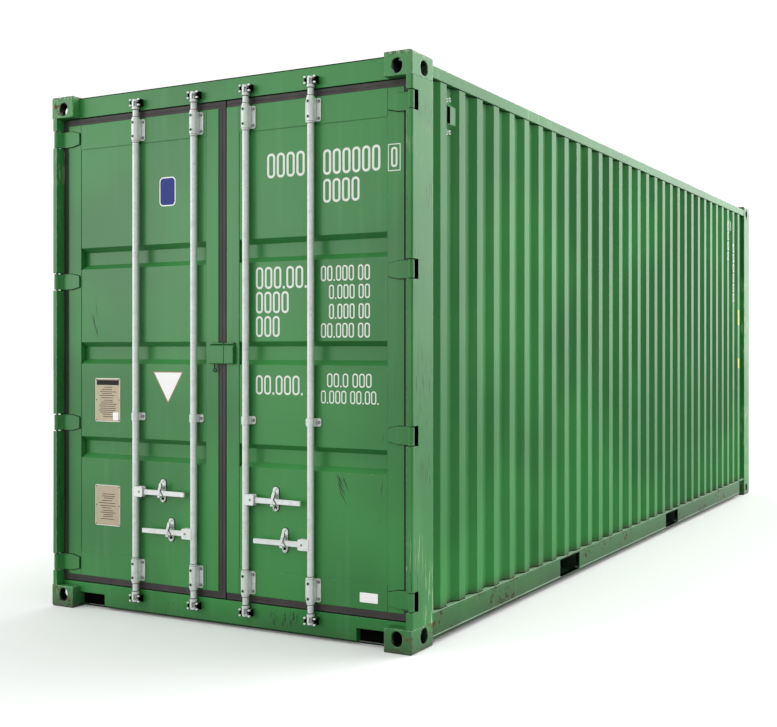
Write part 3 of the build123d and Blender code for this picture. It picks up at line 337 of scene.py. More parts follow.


# The pale stripes are painted highlights on the rail's folded edges; the dark one is painted shade under
# its flange.
RAIL_HIGHLIGHT_AND_SHADE_BANDS = ((0.1595, 0.165, 0.6, CHALK_AND_HIGHLIGHT_PALE), (0.044, 0.0495, 0.6, CHALK_AND_HIGHLIGHT_PALE),
              (0.031, 0.043, 0.8, CORNER_SHADE))
enamel = chassis_enamel("chassis_enamel", wear=0.2, sheen=0.4)
wall_enamel = chassis_enamel("chassis_enamel_on_walls", wear=0.2, darker_foot=0.55, foot_height=0.07,
                             foot_level=0.165, sheen=0.3)
post_enamel = chassis_enamel("chassis_enamel_scratched_post", wear=0.8, rust=0.3, scratches=0.9,
                             sheen=0.4)
top_rail_enamel = chassis_enamel("chassis_enamel_on_top_rail", wear=1.0, scratches=0.4,
                                 edge_radius=8, chalk=0.06, sheen=0.3)
casting_enamel = chassis_enamel("chassis_enamel_on_castings", wear=1.0, rust=1.0, scratches=0.3,
                                darker_foot=0.7, chipped_top=0.9, edge_radius=9, hollow=True)
sill_enamel = chassis_enamel("chassis_enamel_on_sill", wear=0.4, rust=0.2, darker_foot=0.4, sheen=0.3)
rail_enamel = chassis_enamel("chassis_enamel_on_bottom_rail", wear=0.8, rust=1.0, scratches=0.3,
                             darker_foot=0.9, foot_height=0.34, sheen=0.25, bands=RAIL_HIGHLIGHT_AND_SHADE_BANDS)
print("enamels:", [m.name for m in bpy.data.materials])

# %% [markdown]
# The lock gear is forged steel dipped in molten zinc. Zinc freezes in crystals, the spangle, here
# 12 mm wide and barely seen once it has dulled. Weathered zinc is covered with a thin pale
# oxide, so only part of it still answers as a metal: metallic is 0.35 and roughness near 0.5.
# A metal keeps the default IOR. Painted shade darkens the seams between bar, collar and bearing.

# %% Hot-dip zinc
zinc, tree, place = blank_material("hot_dip_zinc")
crystals = add(tree, "TexVoronoi", {"Vector": place, "Scale": per_metre(12)}, out="Color")
spangle = add(tree, "Math", {0: add(tree, "RGBToBW", {"Color": crystals}), 1: 0.4}, **TIMES)
tone = add(tree, "Mix", {0: spangle, 6: colour("#e6eae7"), 7: colour("#c2c8c4")}, **TINT)
clouds = add(tree, "TexNoise", {"Vector": place, "Scale": per_metre(60), "Detail": 5.0})
limits = {"Value": clouds, "From Min": 0.5, "From Max": 0.75, "To Max": 0.18}
stains = add(tree, "MapRange", limits, **SOFT_CUT)
tone = add(tree, "Mix", {0: stains, 6: tone, 7: colour("#94948b")}, **TINT)
specks = patchy(tree, place, 16, 0.69, 0.73, 0.5, 6.0)
tone = add(tree, "Mix", {0: specks, 6: tone, 7: colour("#5b5247")}, **TINT)
# Painted shade in the seams, from Ambient Occlusion.
openness = add(tree, "AmbientOcclusion", {"Distance": 0.010}, out="AO", samples=6)
limits = {"Value": openness, "From Min": 0.72, "From Max": 0.3, "To Max": 0.85}
seams = add(tree, "MapRange", limits, **SOFT_CUT)
tone = add(tree, "Mix", {0: seams, 6: tone, 7: colour("#26241f")}, **TINT)
gloss = add(tree, "MapRange", {"Value": clouds, "To Min": 0.4, "To Max": 0.6})
cast_skin = hilly(tree, place, 7, 0.12, 1, 3.0)
surface(tree, {"Base Color": tone, "Roughness": gloss, "Metallic": 0.35, "Normal": cast_skin})
print("zinc:", zinc.name)

# %% [markdown]
# The door seals are extruded EPDM rubber, a nearly black dielectric. Sun and dust turn it
# brown-grey, and its roughness is high. The dust lies in run-off streaks, and the rims are darkened as
# painted shade.

# %% EPDM seal rubber
rubber, tree, place = blank_material("epdm_seal_rubber")
run_off = add(tree, "Mapping", {"Vector": place, "Scale": (1, 1, 0.3)})
dust = patchy(tree, run_off, 120, 0.35, 0.75)
tone = add(tree, "Mix", {0: dust, 6: colour("#221e1c"), 7: colour("#383230")}, **TINT)
# Painted shade at the rims, from Ambient Occlusion.
openness = add(tree, "AmbientOcclusion", {"Distance": 0.012}, out="AO", samples=6)
rims = add(tree, "MapRange", {"Value": openness, "From Min": 0.9, "From Max": 0.4}, **SOFT_CUT)
tone = add(tree, "Mix", {0: rims, 6: tone, 7: colour("#0c0a0a")}, **TINT)
pores = hilly(tree, place, 6, 0.2, 1, 3.0)
surface(tree, {"Base Color": tone, "Roughness": 0.62, "Normal": pores, "IOR": 1.5})
print("rubber:", rubber.name)

# %% [markdown]
# The floor is 28 mm tropical plywood in sheets, oiled and scarred by pallets. Its face veneer
# runs along the container: long fibres about 4 mm apart, darker bands 60 mm apart. A Wave
# texture bent by noise gives such grain. Sheets are 1.16 m long, with a dark joint between.

# %% Oiled plywood
SHEET_LENGTH = 1.16

plywood, tree, place = blank_material("oiled_plywood")
along = add(tree, "Mapping", {"Vector": place, "Scale": (1, 0.06, 1)})
waves = {"Vector": along, "Scale": per_metre(60) / (2 * math.pi), "Distortion": 6.0, "Detail": 3.0}
grain = add(tree, "TexWave", waves, out="Fac")
tone = add(tree, "Mix", {0: grain, 6: colour("#6b4a2c"), 7: colour("#8c6840")}, **TINT)
long_way = add(tree, "Mapping", {"Vector": place, "Scale": (1, 0.03, 1)})
fibres = add(tree, "TexNoise", {"Vector": long_way, "Scale": per_metre(4), "Detail": 3.0})
dark = add(tree, "Math", {0: fibres, 1: 0.5}, **TIMES)
tone = add(tree, "Mix", {0: dark, 6: tone, 7: colour("#4f3520")}, **TINT)
metres = add(tree, "SeparateXYZ", {"Vector": place}, out="Y")
from_joint = add(tree, "Math", {0: metres, 1: SHEET_LENGTH / 2}, operation="PINGPONG")
joint = add(tree, "MapRange", {"Value": from_joint, "From Min": 0.004, "From Max": 0.001})
tone = add(tree, "Mix", {0: joint, 6: tone, 7: colour("#1c140d")}, **TINT)
raised = add(tree, "Bump", {"Height": fibres, "Strength": 0.25, "Distance": 0.001})
surface(tree, {"Base Color": tone, "Roughness": 0.58, "Normal": raised, "IOR": 1.5})
print("floor:", plywood.name)

# %% [markdown]
# The underframe carries a sprayed coat of wax and bitumen over the enamel: almost black with a
# green cast, thick and slightly lumpy, greyed by road dust. Lumps are 25 mm apart.

# %% Underbody wax
wax, tree, place = blank_material("underbody_wax")
dust = patchy(tree, place, 200, 0.4, 0.7, 0.6, 5.0)
tone = add(tree, "Mix", {0: dust, 6: colour("#14241a"), 7: colour("#37463a")}, **TINT)
lumps = hilly(tree, place, 25, 0.4, 2, 3.0)
surface(tree, {"Base Color": tone, "Roughness": 0.7, "Normal": lumps, "IOR": 1.5})
print("underframe:", wax.name)

# %% [markdown]
# Small flat things share one recipe: a printed vinyl film, a painted mark or a metal plate is
# one base colour with a little fading and grime. They differ in colour, metallic, roughness and
# sheen. A white film is reflective: it sends light back the way it came, so it looks whiter
# than white paint. A small emission, a painted glow, stands for that.

# %% Films, marks and plates
def film_or_plate(name, hex_value, roughness, metallic=0.0, grime=0.25, grime_hex="#6f6d5c",
                  sheen=0.5, painted_glow=0.0):
    material, tree, place = blank_material(name)
    fading = patchy(tree, place, 35, 0.4, 0.8, grime, 5.0)
    tone = add(tree, "Mix", {0: fading, 6: colour(hex_value), 7: colour(grime_hex)}, **TINT)
    ripples = hilly(tree, place, 10, 0.06, 1, 2.0)
    sockets = {"Base Color": tone, "Roughness": roughness, "Normal": ripples, "Specular IOR Level": sheen}
    if metallic:
        sockets["Metallic"] = metallic
    # A painted glow stands for the film's reflection of light back the way it came.
    if painted_glow:
        sockets.update({"Emission Color": colour(hex_value), "Emission Strength": painted_glow})
    surface(tree, sockets)
    return material


stencil_white = film_or_plate("stencil_white_enamel", "#f6fdf2", 0.45, grime=0.06)
white_vinyl = film_or_plate("white_reflective_film", "#fbfcfa", 0.4, grime=0.06, painted_glow=0.15)
tan_vinyl = film_or_plate("tan_vinyl_film", "#a98a52", 0.4, grime=0.15)
blue_vinyl = film_or_plate("blue_vinyl_film", "#22358c", 0.5, grime=0.1, sheen=0.2)
yellow_vinyl = film_or_plate("yellow_vinyl_film", "#e6d21f", 0.35, grime=0.15, sheen=0.2)
black_vinyl = film_or_plate("black_vinyl_film", "#0b0c09", 0.6, grime=0.1, sheen=0.2)
etched_plate = film_or_plate("etched_aluminium_plate", "#b8aa90", 0.5, metallic=0.3, grime=0.2)
bolt_zinc = film_or_plate("zinc_plated_bolt", "#8b8d8b", 0.45, metallic=0.7, grime=0.5, grime_hex="#332c25")
# Black for painted shade in hollows, slots and outlines; the ventilator screws use it too.
shade_black = film_or_plate("painted_shade_black", "#080a08", 1.0, grime=0.1, grime_hex="#24221c", sheen=0.0)
# A dark line for the door frame's joints, and painted shade where walls meet rails, round the hinge straps
# and under the sill.
joint_and_shade_line = film_or_plate("dark_joint_and_painted_shade_line", "#0b2410", 0.7, grime=0.4, grime_hex="#06130a", sheen=0.2)
dark_scratch = film_or_plate("scratch_to_primer", "#23482b", 0.6, grime=0.3, grime_hex="#1a241a")
rusty_weld = film_or_plate("rust_stained_weld", "#1c3a22", 0.6, grime=0.95, grime_hex="#33281a", sheen=0.3)
print("finishes:", len(bpy.data.materials))

# %% [markdown]
# Each CAD node already has a slot in the record that says what it is made of. One table
# turns those slots into finishes, and a second names the nodes that get harder wear.

# %% Finishes on the CAD nodes
finish_of_slot = {
    "green_paint": enamel, "green_paint_worn": casting_enamel, "galvanised": zinc,
    "seal_rubber": rubber, "floor_plywood": plywood, "underframe_paint": wax,
}
finish_of_node = {
    "door_posts": post_enamel, "blind_end_posts": post_enamel, "top_side_rails": top_rail_enamel,
    "door_sill": sill_enamel, "bottom_side_rails": rail_enamel, "bottom_rail_angles": rail_enamel,
    "fork_pockets": rail_enamel, "side_wall_right": wall_enamel, "side_wall_left": wall_enamel,
    "blind_end_wall": wall_enamel,
}
for part in frame["record"]["subparts"]:
    solid = nodes[part["node"]].data
    solid.materials.clear()
    solid.materials.append(finish_of_node.get(part["node"], finish_of_slot[part["material_slot"]]))

# %% [markdown]
# A piece of the scene is a mesh that rides on a CAD body. Its shape is collected in a bmesh,
# and many like shapes, such as all bolts of one door, go into one piece. Sharp pieces get
# their edges broken by a small bevel, because no real edge is perfectly sharp.

# %% Making a piece
SHARP_ANGLE = 0.5
triangle_count = {}


def make_piece(name, shape, finish, body="container", smooth=False,
               broken_edge=0.0):
    bmesh.ops.recalc_face_normals(shape, faces=shape.faces)
    if broken_edge:
        inner = [e for e in shape.edges if len(e.link_faces) == 2]
        sharp = [e for e in inner if e.calc_face_angle() > SHARP_ANGLE]
        bmesh.ops.bevel(shape, geom=sharp, offset=broken_edge / 1000, segments=2, profile=0.5,
                        affect="EDGES", clamp_overlap=True)
    for face in shape.faces:
        face.smooth = smooth
    mesh = bpy.data.meshes.new(name)
    shape.to_mesh(mesh)
    shape.free()
    mesh.materials.append(finish)
    piece = bpy.data.objects.new(name, mesh)
    bpy.context.scene.collection.objects.link(piece)
    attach(piece, body)
    triangle_count[name] = sum(len(p.vertices) - 2 for p in mesh.polygons)


print("pieces can be made")

# %% [markdown]
# Most small parts are one of three forms. A turned form is a profile of radius and height
# swept round an axis. A tube is a ring carried along a path. A prism is an outline pushed
# out of its plane. Each function adds one form to a shape, so a loop can add many.

# %% Turned forms, tubes and prisms
def band_of_faces(shape, first, second):
    """A closed strip of faces between two rings with as many corners."""
    for i in range(len(first)):
        j = (i + 1) % len(first)
        shape.faces.new((first[i], first[j], second[j], second[i]))


def turned(shape, centre, axis, profile, sides, start=0.0):
    """Rings of (radius, height) in mm along the axis, closed at the top."""
    turn = Vector(axis).to_track_quat("Z", "Y")
    rings = []
    for radius, height in profile:
        angles = [start + 2 * math.pi * i / sides for i in range(sides)]
        spots = [Vector((radius * math.cos(a), radius * math.sin(a), height)) / 1000 for a in angles]
        rings.append([shape.verts.new(centre + turn @ spot) for spot in spots])
    for lower, upper in zip(rings, rings[1:]):
        band_of_faces(shape, lower, upper)
    shape.faces.new(rings[-1])


def tube(shape, path, radii, facing, sides=8, closed=False):
    """A round bar through the points of a path in one plane; facing is that plane's normal."""
    count = len(path)
    rings = []
    for i, (spot, radius) in enumerate(zip(path, radii)):
        before = path[i - 1] if i or closed else spot
        after = path[(i + 1) % count] if i + 1 < count or closed else spot
        sideways = (after - before).normalized().cross(facing)
        angles = [2 * math.pi * k / sides for k in range(sides)]
        ring = [spot + (facing * math.cos(a) + sideways * math.sin(a)) * radius / 1000 for a in angles]
        rings.append([shape.verts.new(corner) for corner in ring])
    for ring, next_ring in zip(rings, rings[1:] + rings[:1] if closed else rings[1:]):
        band_of_faces(shape, ring, next_ring)
    if not closed:
        shape.faces.new(rings[0])
        shape.faces.new(rings[-1])


def prism(shape, outline, push):
    """An outline of points pushed by a vector in mm."""
    near = [shape.verts.new(point) for point in outline]
    far = [shape.verts.new(point + Vector(push) / 1000) for point in outline]
    shape.faces.new(near)
    shape.faces.new(far)
    band_of_faces(shape, near, far)


def hex_bolt(shape, centre, axis, across, start=0.0):
    """A washer and a chamfered hexagon head."""
    wide = across / math.sqrt(3)
    head = [(wide, 1.5), (wide, across * 0.36), (wide * 0.84, across * 0.42)]
    turned(shape, centre, axis, [(wide * 1.35, 0), (wide * 1.35, 1.6), (wide * 1.2, 2.0)], 20)
    turned(shape, centre, axis, head, 6, start)


def front_box(x0, x1, z0, z1, depth):
    """The corners of an upright rectangle that faces the doors' way."""
    return [at(x0, depth, z0), at(x1, depth, z0), at(x1, depth, z1), at(x0, depth, z1)]


def rounded_outline(x0, x1, z0, z1, radius, steps=6):
    """Points of a rectangle with round corners, counter-clockwise from its top right."""
    points = []
    for x, z, first in ((x1 - radius, z1 - radius, 0), (x0 + radius, z1 - radius, 90),
                        (x0 + radius, z0 + radius, 180), (x1 - radius, z0 + radius, 270)):
        angles = [math.radians(first + 90 * step / (steps - 1)) for step in range(steps)]
        points += [(x + radius * math.cos(a), z + radius * math.sin(a)) for a in angles]
    return points


print("forms ready")

# %% [markdown]
# Each bar turns in four bolted saddles and two guides. A saddle's flange has a bolt near each
# corner, and its cap shows two dark socket screws in front of the bar. The heads are small,
# 11 mm across, each turned a little differently, as a fitter leaves them.

# %% Bolts of the lock gear
RODS = (-598, -178, 178, 598)
HANDLE_LEVELS = (685, 477, 685, 477)
HANDLE_TURNS = (1, -1, 1, -1)
SADDLE_LEVELS = (249, 2668)
GUIDE_LEVEL = 1094
BOLT_WIDTH = 11
SCREW_COLLAR = [(8.5, 0), (8.5, 0.6), (6.4, 0.9)]
SCREW_SOCKET = [(5.2, 0), (5.2, 0.35)]
dice = random.Random(11)

for door, rods in (("left_door", RODS[:2]), ("right_door", RODS[2:])):
    bolts = bmesh.new()
    sockets = bmesh.new()
    for rod in rods:
        for side in (-36, 36):
            hex_bolt(bolts, at(rod + side, 43, GUIDE_LEVEL), OUTWARD, BOLT_WIDTH, dice.random())
            for level in SADDLE_LEVELS:
                for rise in (-43, 43):
                    centre = at(rod + side, 41, level + rise)
                    hex_bolt(bolts, centre, OUTWARD, BOLT_WIDTH, dice.random())
        for level in SADDLE_LEVELS:
            for rise in (-38, 38):
                turned(bolts, at(rod, 1.3, level + rise), OUTWARD, SCREW_COLLAR, 20)
                turned(sockets, at(rod, 0.6, level + rise), OUTWARD, SCREW_SOCKET, 16)
    make_piece(door + "_saddle_bolts", bolts, bolt_zinc, door)
    make_piece(door + "_saddle_sockets", sockets, shade_black, door)
print("bolt triangles:", triangle_count)

# %% [markdown]
# Each handle hangs on a pin through its fork, with a small riveted head in front. It rests in a
# catch: an oval plate with a rivet above and below and two cups whose middles are darkened as
# painted shade. A bent hasp is riveted across the lever and hooks over the catch; it lifts with the
# lever. A painted shadow outlines both of them: a thin black sheet behind each stands out a few
# millimetres.

# %% Rivets, cups and hasps
PIN_FROM_ROD = 44
CATCH_FROM_ROD = 180
CATCH_FRONT = 43
RIVET_RISES = (-46, 60)
UPPER_CUP_FRONT = 28
UPPER_CUP_RISE = 27
LOWER_CUP_RISE = -38
HASP_FRONT = 5.5
HASP_THICKNESS = 5.5
HASP_SPINE = ((18, 54, 5), (18, 48, 8), (16, 38, 8.5), (12, 26, 8), (7, 14, 7), (8, 3, 7),
              (18, -8, 6), (28, -15, 3))
SHADOW_RIM = 2.4
PIN_HEAD = [(6.5, 0), (6.5, 0.8), (5, 2.2), (2.5, 2.8)]
CATCH_RIVET = [(7, 0), (7, 1.5), (5, 4), (2, 5)]
UPPER_CUP = [(11, -4), (13, 0), (13, 2), (9, 3), (8, 1)]
LOWER_CUP = [(17, 0), (17, 2.5), (13, 2.5), (12, 0.5)]


def hasp_outline(rim=0.0):
    """Both edges of the bent hasp from its middle line and half widths, wider by a rim."""
    left = []
    right = []
    for index, (x, z, half) in enumerate(HASP_SPINE):
        before = HASP_SPINE[max(index - 1, 0)]
        after = HASP_SPINE[min(index + 1, len(HASP_SPINE) - 1)]
        run = Vector((after[0] - before[0], after[1] - before[1])).normalized() * (half + rim)
        left.append((x - run.y, z + run.x))
        right.append((x + run.y, z - run.x))
    return left + right[::-1]


for number, (rod, level, turn) in enumerate(zip(RODS, HANDLE_LEVELS, HANDLE_TURNS), start=1):
    door = "left_door" if number < 3 else "right_door"
    lever = "lever_%d" % number
    head = bmesh.new()
    turned(head, at(rod + turn * PIN_FROM_ROD, 4, level), OUTWARD, PIN_HEAD, 20)
    make_piece("handle_pin_head_%d" % number, head, bolt_zinc, "bar_%d" % number, smooth=True)

    centre = rod + turn * CATCH_FROM_ROD
    catch = bmesh.new()
    for rise in RIVET_RISES:
        turned(catch, at(centre, CATCH_FRONT, level + rise), OUTWARD, CATCH_RIVET, 20)
    turned(catch, at(centre, UPPER_CUP_FRONT, level + UPPER_CUP_RISE), OUTWARD, UPPER_CUP, 24)
    turned(catch, at(centre, CATCH_FRONT, level + LOWER_CUP_RISE), OUTWARD, LOWER_CUP, 24)
    make_piece("catch_cups_%d" % number, catch, zinc, door)
    # Painted shade in the middles of the cups, and a black sheet behind the oval as painted shadow round
    # the catch.
    hollow = bmesh.new()
    turned(hollow, at(centre, 26.2, level + UPPER_CUP_RISE), OUTWARD, [(7.8, 0), (7.8, 0.4)], 20)
    turned(hollow, at(centre, 42.4, level + LOWER_CUP_RISE), OUTWARD, [(10, 0), (10, 0.3)], 20)
    catch_shadow_outline = rounded_outline(centre - 22, centre + 22, level - 57, level + 73, 21)
    prism(hollow, [at(x, 47.1, z) for x, z in catch_shadow_outline], (0, 0.8, 0))
    make_piece("catch_painted_shade_%d" % number, hollow, shade_black, door)

    hasp = bmesh.new()
    outline = [at(centre + x, HASP_FRONT, level + z) for x, z in hasp_outline()]
    prism(hasp, outline, (0, HASP_THICKNESS, 0))
    turned(hasp, at(centre + 10, HASP_FRONT, level + 2), OUTWARD, [(5, 0), (5, 1), (4, 2.5), (2, 3)], 16)
    make_piece("lever_hasp_%d" % number, hasp, zinc, lever, broken_edge=1.2)
    # Painted shadow round the hasp: a black sheet just behind it, a little wider.
    grime = bmesh.new()
    back = HASP_FRONT + HASP_THICKNESS
    outline = [at(centre + x, back, level + z) for x, z in hasp_outline(SHADOW_RIM)]
    prism(grime, outline, (0, 0.6, 0))
    make_piece("lever_hasp_grime_%d" % number, grime, shade_black, lever)
print("handles dressed:", len(RODS))

# %% [markdown]
# Some hollows are drawn dark with painted shade: the keepers round the cams, the notches round the
# hinge knuckles and the cut-outs at the sill's ends. Thin black liners stand in front of their
# walls. A keeper's forged corners stay bright, as hands and hooks rub them. Rings of painted shade
# lie where bar, collar and bearing meet.

# %% Painted shade in hollows
KEEPER_SPANS = ((76, 116), (2797, 2837))
KEEPER_CHEEK = 28
KEEPER_HALF = 34
HINGE_LEVELS = (249, 1045, 1848, 2660)
SILL_CUT_SIDES = (861, 1056)
SILL_CUT_SPAN = (13.5, 83.5)
SILL_CUT_BACK = 78
SHADE_RING_LEVELS = (308.2, 318, 187.5, 177, 2596.5, 2608.2, 2725.5, 2737.2, 2776, 134.2)

# Black liners as painted shade in the keepers, the hinge notches and the sill's cut-outs.
liners = bmesh.new()
ears = bmesh.new()
for rod in RODS:
    for low, high in KEEPER_SPANS:
        prism(liners, front_box(rod - 27.5, rod + 27.5, low + 1, high - 1, 42.0), (0, 0.8, 0))
        for side in (-1, 1):
            cheek = [(16, low + 1), (42.5, low + 1), (42.5, high - 1), (16, high - 1)]
            for x, skin in ((KEEPER_CHEEK - 0.3, -0.5), (KEEPER_HALF + 0.1, 0.5)):
                prism(liners, [at(rod + side * x, depth, z) for depth, z in cheek], (side * skin, 0, 0))
            rim = front_box(rod + side * 27.3, rod + side * 34.5, low + 1, high - 1, 15.3)
            prism(liners, rim, (0, 0.6, 0))
            for z in (low + 5, high - 5):
                ear = rounded_outline(rod + side * 30 - 6.5, rod + side * 30 + 6.5, z - 5, z + 5, 4)
                prism(ears, [at(x, 10, height) for x, height in ear], (0, 9, 0))
make_piece("keeper_ears", ears, zinc, broken_edge=1.2)
for side in (-1, 1):
    for level in HINGE_LEVELS:
        x0, x1 = sorted((side * 1185, side * 1218))
        prism(liners, front_box(x0, x1, level - 48.5, level + 48.5, 51.3), (0, 0.5, 0))
for side in (-1, 1):
    x0, x1 = sorted(side * x for x in SILL_CUT_SIDES)
    prism(liners, front_box(x0, x1, *SILL_CUT_SPAN, SILL_CUT_BACK), (0, 1.5, 0))
make_piece("painted_shade_liners", liners, shade_black)

# Rings of painted shade where bar, collar and bearing meet.
for number, rod in enumerate(RODS, start=1):
    rings = bmesh.new()
    for z in SHADE_RING_LEVELS:
        turned(rings, at(rod, 23, z), UPWARD, [(17, 0), (17.5, 0), (17.5, 2.8), (17, 2.8)], 32)
    make_piece("bar_grime_%d" % number, rings, shade_black, "bar_%d" % number)
print("liners:", triangle_count["painted_shade_liners"], "triangles")

# %% [markdown]
# A ventilator is a pressed hood over a few small holes. Its mouth is open toward the doors, and
# a black sheet in it is painted shade. It hangs on two screws above and two below, and the hasty
# tightening has scraped the paint off round their heads.

# %% Ventilator mouths and screws
VENT_DEPTHS = (371, 5411)
VENT_LEVEL = 2653
VENT_FACE = 1207
VENT_EAR = 1187
WALLS = ((1, "right"), (-1, "left"))

for side, name in WALLS:
    mouths = bmesh.new()
    screws = bmesh.new()
    scrapes = bmesh.new()
    sideways = Vector((side, 0, 0))
    for depth in VENT_DEPTHS:
        # A black sheet in each mouth as painted shade.
        mouth = rounded_outline(depth - 38.5, depth - 13, VENT_LEVEL - 43, VENT_LEVEL + 43, 4)
        prism(mouths, [at(side * VENT_FACE, near, z) for near, z in mouth], (side * 0.5, 0, 0))
        for z in (VENT_LEVEL - 84, VENT_LEVEL + 84):
            for shift in (-16, 16):
                centre = at(side * VENT_EAR, depth + shift, z + shift * 0.3)
                turned(scrapes, centre, sideways, [(11, 0), (10, 0.4)], 7, dice.random())
                turned(screws, centre, sideways, [(5, 0), (5, 1.8), (3.5, 2.8)], 12)
    make_piece(name + "_ventilator_mouths", mouths, shade_black)
    make_piece(name + "_ventilator_scrapes", scrapes, zinc)
    make_piece(name + "_ventilator_screws", screws, shade_black)
print("ventilators:", 2 * len(VENT_DEPTHS))

# %% [markdown]
# The container is welded together. A welder's bead is a low ridge with ripples a few
# millimetres apart. Here it is a tube of six sides along a path, its radius swelling with each
# ripple. Along the walls the paint fills the bead, and the bead is drawn dark as painted shade
# under the top rail and at the wall's foot. Beads at the castings are rust-stained, because paint holds
# badly there.

# %% Weld beads
def weld_bead(shape, corners, radius, facing, ripple=9.0):
    """A rippled bead along straight runs between corners, in the plane that facing looks out of."""
    path = []
    for start, end in zip(corners, corners[1:]):
        steps = max(1, round((end - start).length * 1000 / ripple))
        path += [start.lerp(end, step / steps) for step in range(steps)]
    path.append(corners[-1])
    tube(shape, path, [radius * (1.12 if i % 2 else 0.9) for i in range(len(path))], facing, sides=6)


FIRST_RIDGE = 252
RIDGE_SPACING = 180
RIDGE_FLAT = 58
RIDGE_SLOPE = 35
RIDGE_COUNT = 31
CROWN = 1216
TROUGH = 1184
WALL_SPAN = (181, 5880)
WALL_LEVELS = (2800, 167)
CASTING_LEVELS = (118, 2778)


def wall_line(side, z, sunk=0.5):
    """The outer line of a side wall's folds at one height."""
    line = [(WALL_SPAN[0], TROUGH)]
    for ridge in range(RIDGE_COUNT):
        first = FIRST_RIDGE + RIDGE_SPACING * ridge
        last = first + RIDGE_FLAT
        line += [(first - RIDGE_SLOPE, TROUGH), (first, CROWN), (last, CROWN), (last + RIDGE_SLOPE, TROUGH)]
    line.append((WALL_SPAN[1], TROUGH))
    return [at(side * (x - sunk), depth, z) for depth, x in line]


for side, name in WALLS:
    welds = bmesh.new()
    # The wall beads are drawn dark: painted shade under the top rail and at the wall's foot.
    for z in WALL_LEVELS:
        weld_bead(welds, wall_line(side, z), 2.8, UPWARD)
    make_piece(name + "_wall_welds", welds, joint_and_shade_line, smooth=True)

corner_welds = bmesh.new()
for side in (-1, 1):
    for z in CASTING_LEVELS:
        weld_bead(corner_welds, [at(side * 1184, 2.5, z), at(side * 1208, 2.5, z)], 2.2, UPWARD)
        for near, far in ((12, 178), (5884, 6046)):
            bead = [at(side * 1216.5, near, z), at(side * 1216.5, far, z)]
            weld_bead(corner_welds, bead, 2.2, UPWARD)
make_piece("corner_welds", corner_welds, rusty_weld, smooth=True)
print("weld triangles:", {k: v for k, v in triangle_count.items() if "weld" in k})

# %% [markdown]
# On the doors a bead runs round each pressed panel, round the strap of each hinge, and down the
# joints of the frame's tubes. The beads round the straps are drawn dark as painted shade. The frame's
# joints are ground flat, so only a dark line is left.

# %% Welds and joints of the doors
PANEL_SIDES = (112, 1046)
PANEL_SPAN = (314, 2598)
LEAF_SPAN = (181, 2736)
STRAP = [(1140, 45), (1110, 45), (1051, 32), (1051, -32), (1110, -45), (1140, -45)]
HEADER_JOINT_AND_SILL_SHADOW = ((2884.5, 2889.8), (13.2, 21))

for door, side in (("left_door", -1), ("right_door", 1)):
    welds = bmesh.new()
    x0, x1 = (side * x for x in PANEL_SIDES)
    z0, z1 = PANEL_SPAN
    outline = front_box(x0 + side, x1 - side, z0 + 1, z1 - 1, 47.6)
    weld_bead(welds, outline + outline[:1], 2.0, OUTWARD)
    make_piece(door + "_panel_weld", welds, enamel, door, smooth=True)
    welds = bmesh.new()
    # Beads round the hinge straps, drawn dark as painted shade.
    for level in HINGE_LEVELS:
        weld_bead(welds, [at(side * x, 45.7, level + rise) for x, rise in STRAP], 2.2, OUTWARD)
    make_piece(door + "_strap_welds", welds, joint_and_shade_line, door, smooth=True)

    joints = bmesh.new()
    for x in (x0, x1):
        for low, high in ((LEAF_SPAN[0], z0), (z1, LEAF_SPAN[1])):
            prism(joints, front_box(x - 1.2, x + 1.2, low + 1, high - 1, 45.7), (0, 0.4, 0))
    make_piece(door + "_frame_joints", joints, joint_and_shade_line, door)

# A dark line along the header's top joint, and a painted shadow along the sill's foot.
joints = bmesh.new()
for low, high in HEADER_JOINT_AND_SILL_SHADOW:
    prism(joints, front_box(-1056, 1056, low, high, 45.6), (0, 0.5, 0))
make_piece("header_joint_and_sill_shadow", joints, joint_and_shade_line)
print("door weld triangles:", triangle_count["right_door_strap_welds"])

# %% [markdown]
# The seal is a flat band with a raised lip along its middle. The lip presses on the posts, the
# header and the sill when the door shuts, and the light catches it as a thin line. The left
# door carries the seal of the middle gap too, so its lip closes, and the right one stays open.

# %% Lips of the door seals
LIP_SIDE = 1160
LIP_SPAN = (163.5, 2754)
LIP_DEPTH = 49.6
LIP_RADIUS = 2.4
CORNER_RADIUS = 30

left_line = rounded_outline(-LIP_SIDE, -4.5, *LIP_SPAN, CORNER_RADIUS)
bend = rounded_outline(-LIP_SIDE, LIP_SIDE, *LIP_SPAN, CORNER_RADIUS)
right_line = [(30, LIP_SPAN[0])] + bend[18:] + bend[:6] + [(30, LIP_SPAN[1])]
for door, line in (("left_door", left_line), ("right_door", right_line)):
    lip = bmesh.new()
    path = [at(x, LIP_DEPTH, z) for x, z in line]
    tube(lip, path, [LIP_RADIUS] * len(path), OUTWARD, closed=door == "left_door")
    make_piece(door + "_seal_lip", lip, rubber, door, smooth=True)
print("seal lips:", triangle_count["left_door_seal_lip"])

# %% [markdown]
# The lock plate over the door gap is a folded box, closed in front with its top sloping back,
# and split so that each door can swing alone. Two small studs stand on its top, and a
# seal ring hangs from its foot on a wire.

# %% Lock plate and seal ring
LOCK_PROFILE = ((40, 1386), (31, 1386), (28, 1389), (28, 1474), (31, 1479), (38, 1489), (40, 1489))
LOCK_PARTS = (("left_door", -77, 22, -62), ("right_door", 25, 86, 70))
RING_X, RING_DEPTH, RING_LEVEL = -43, 36, 1352
RING_STEPS = 20

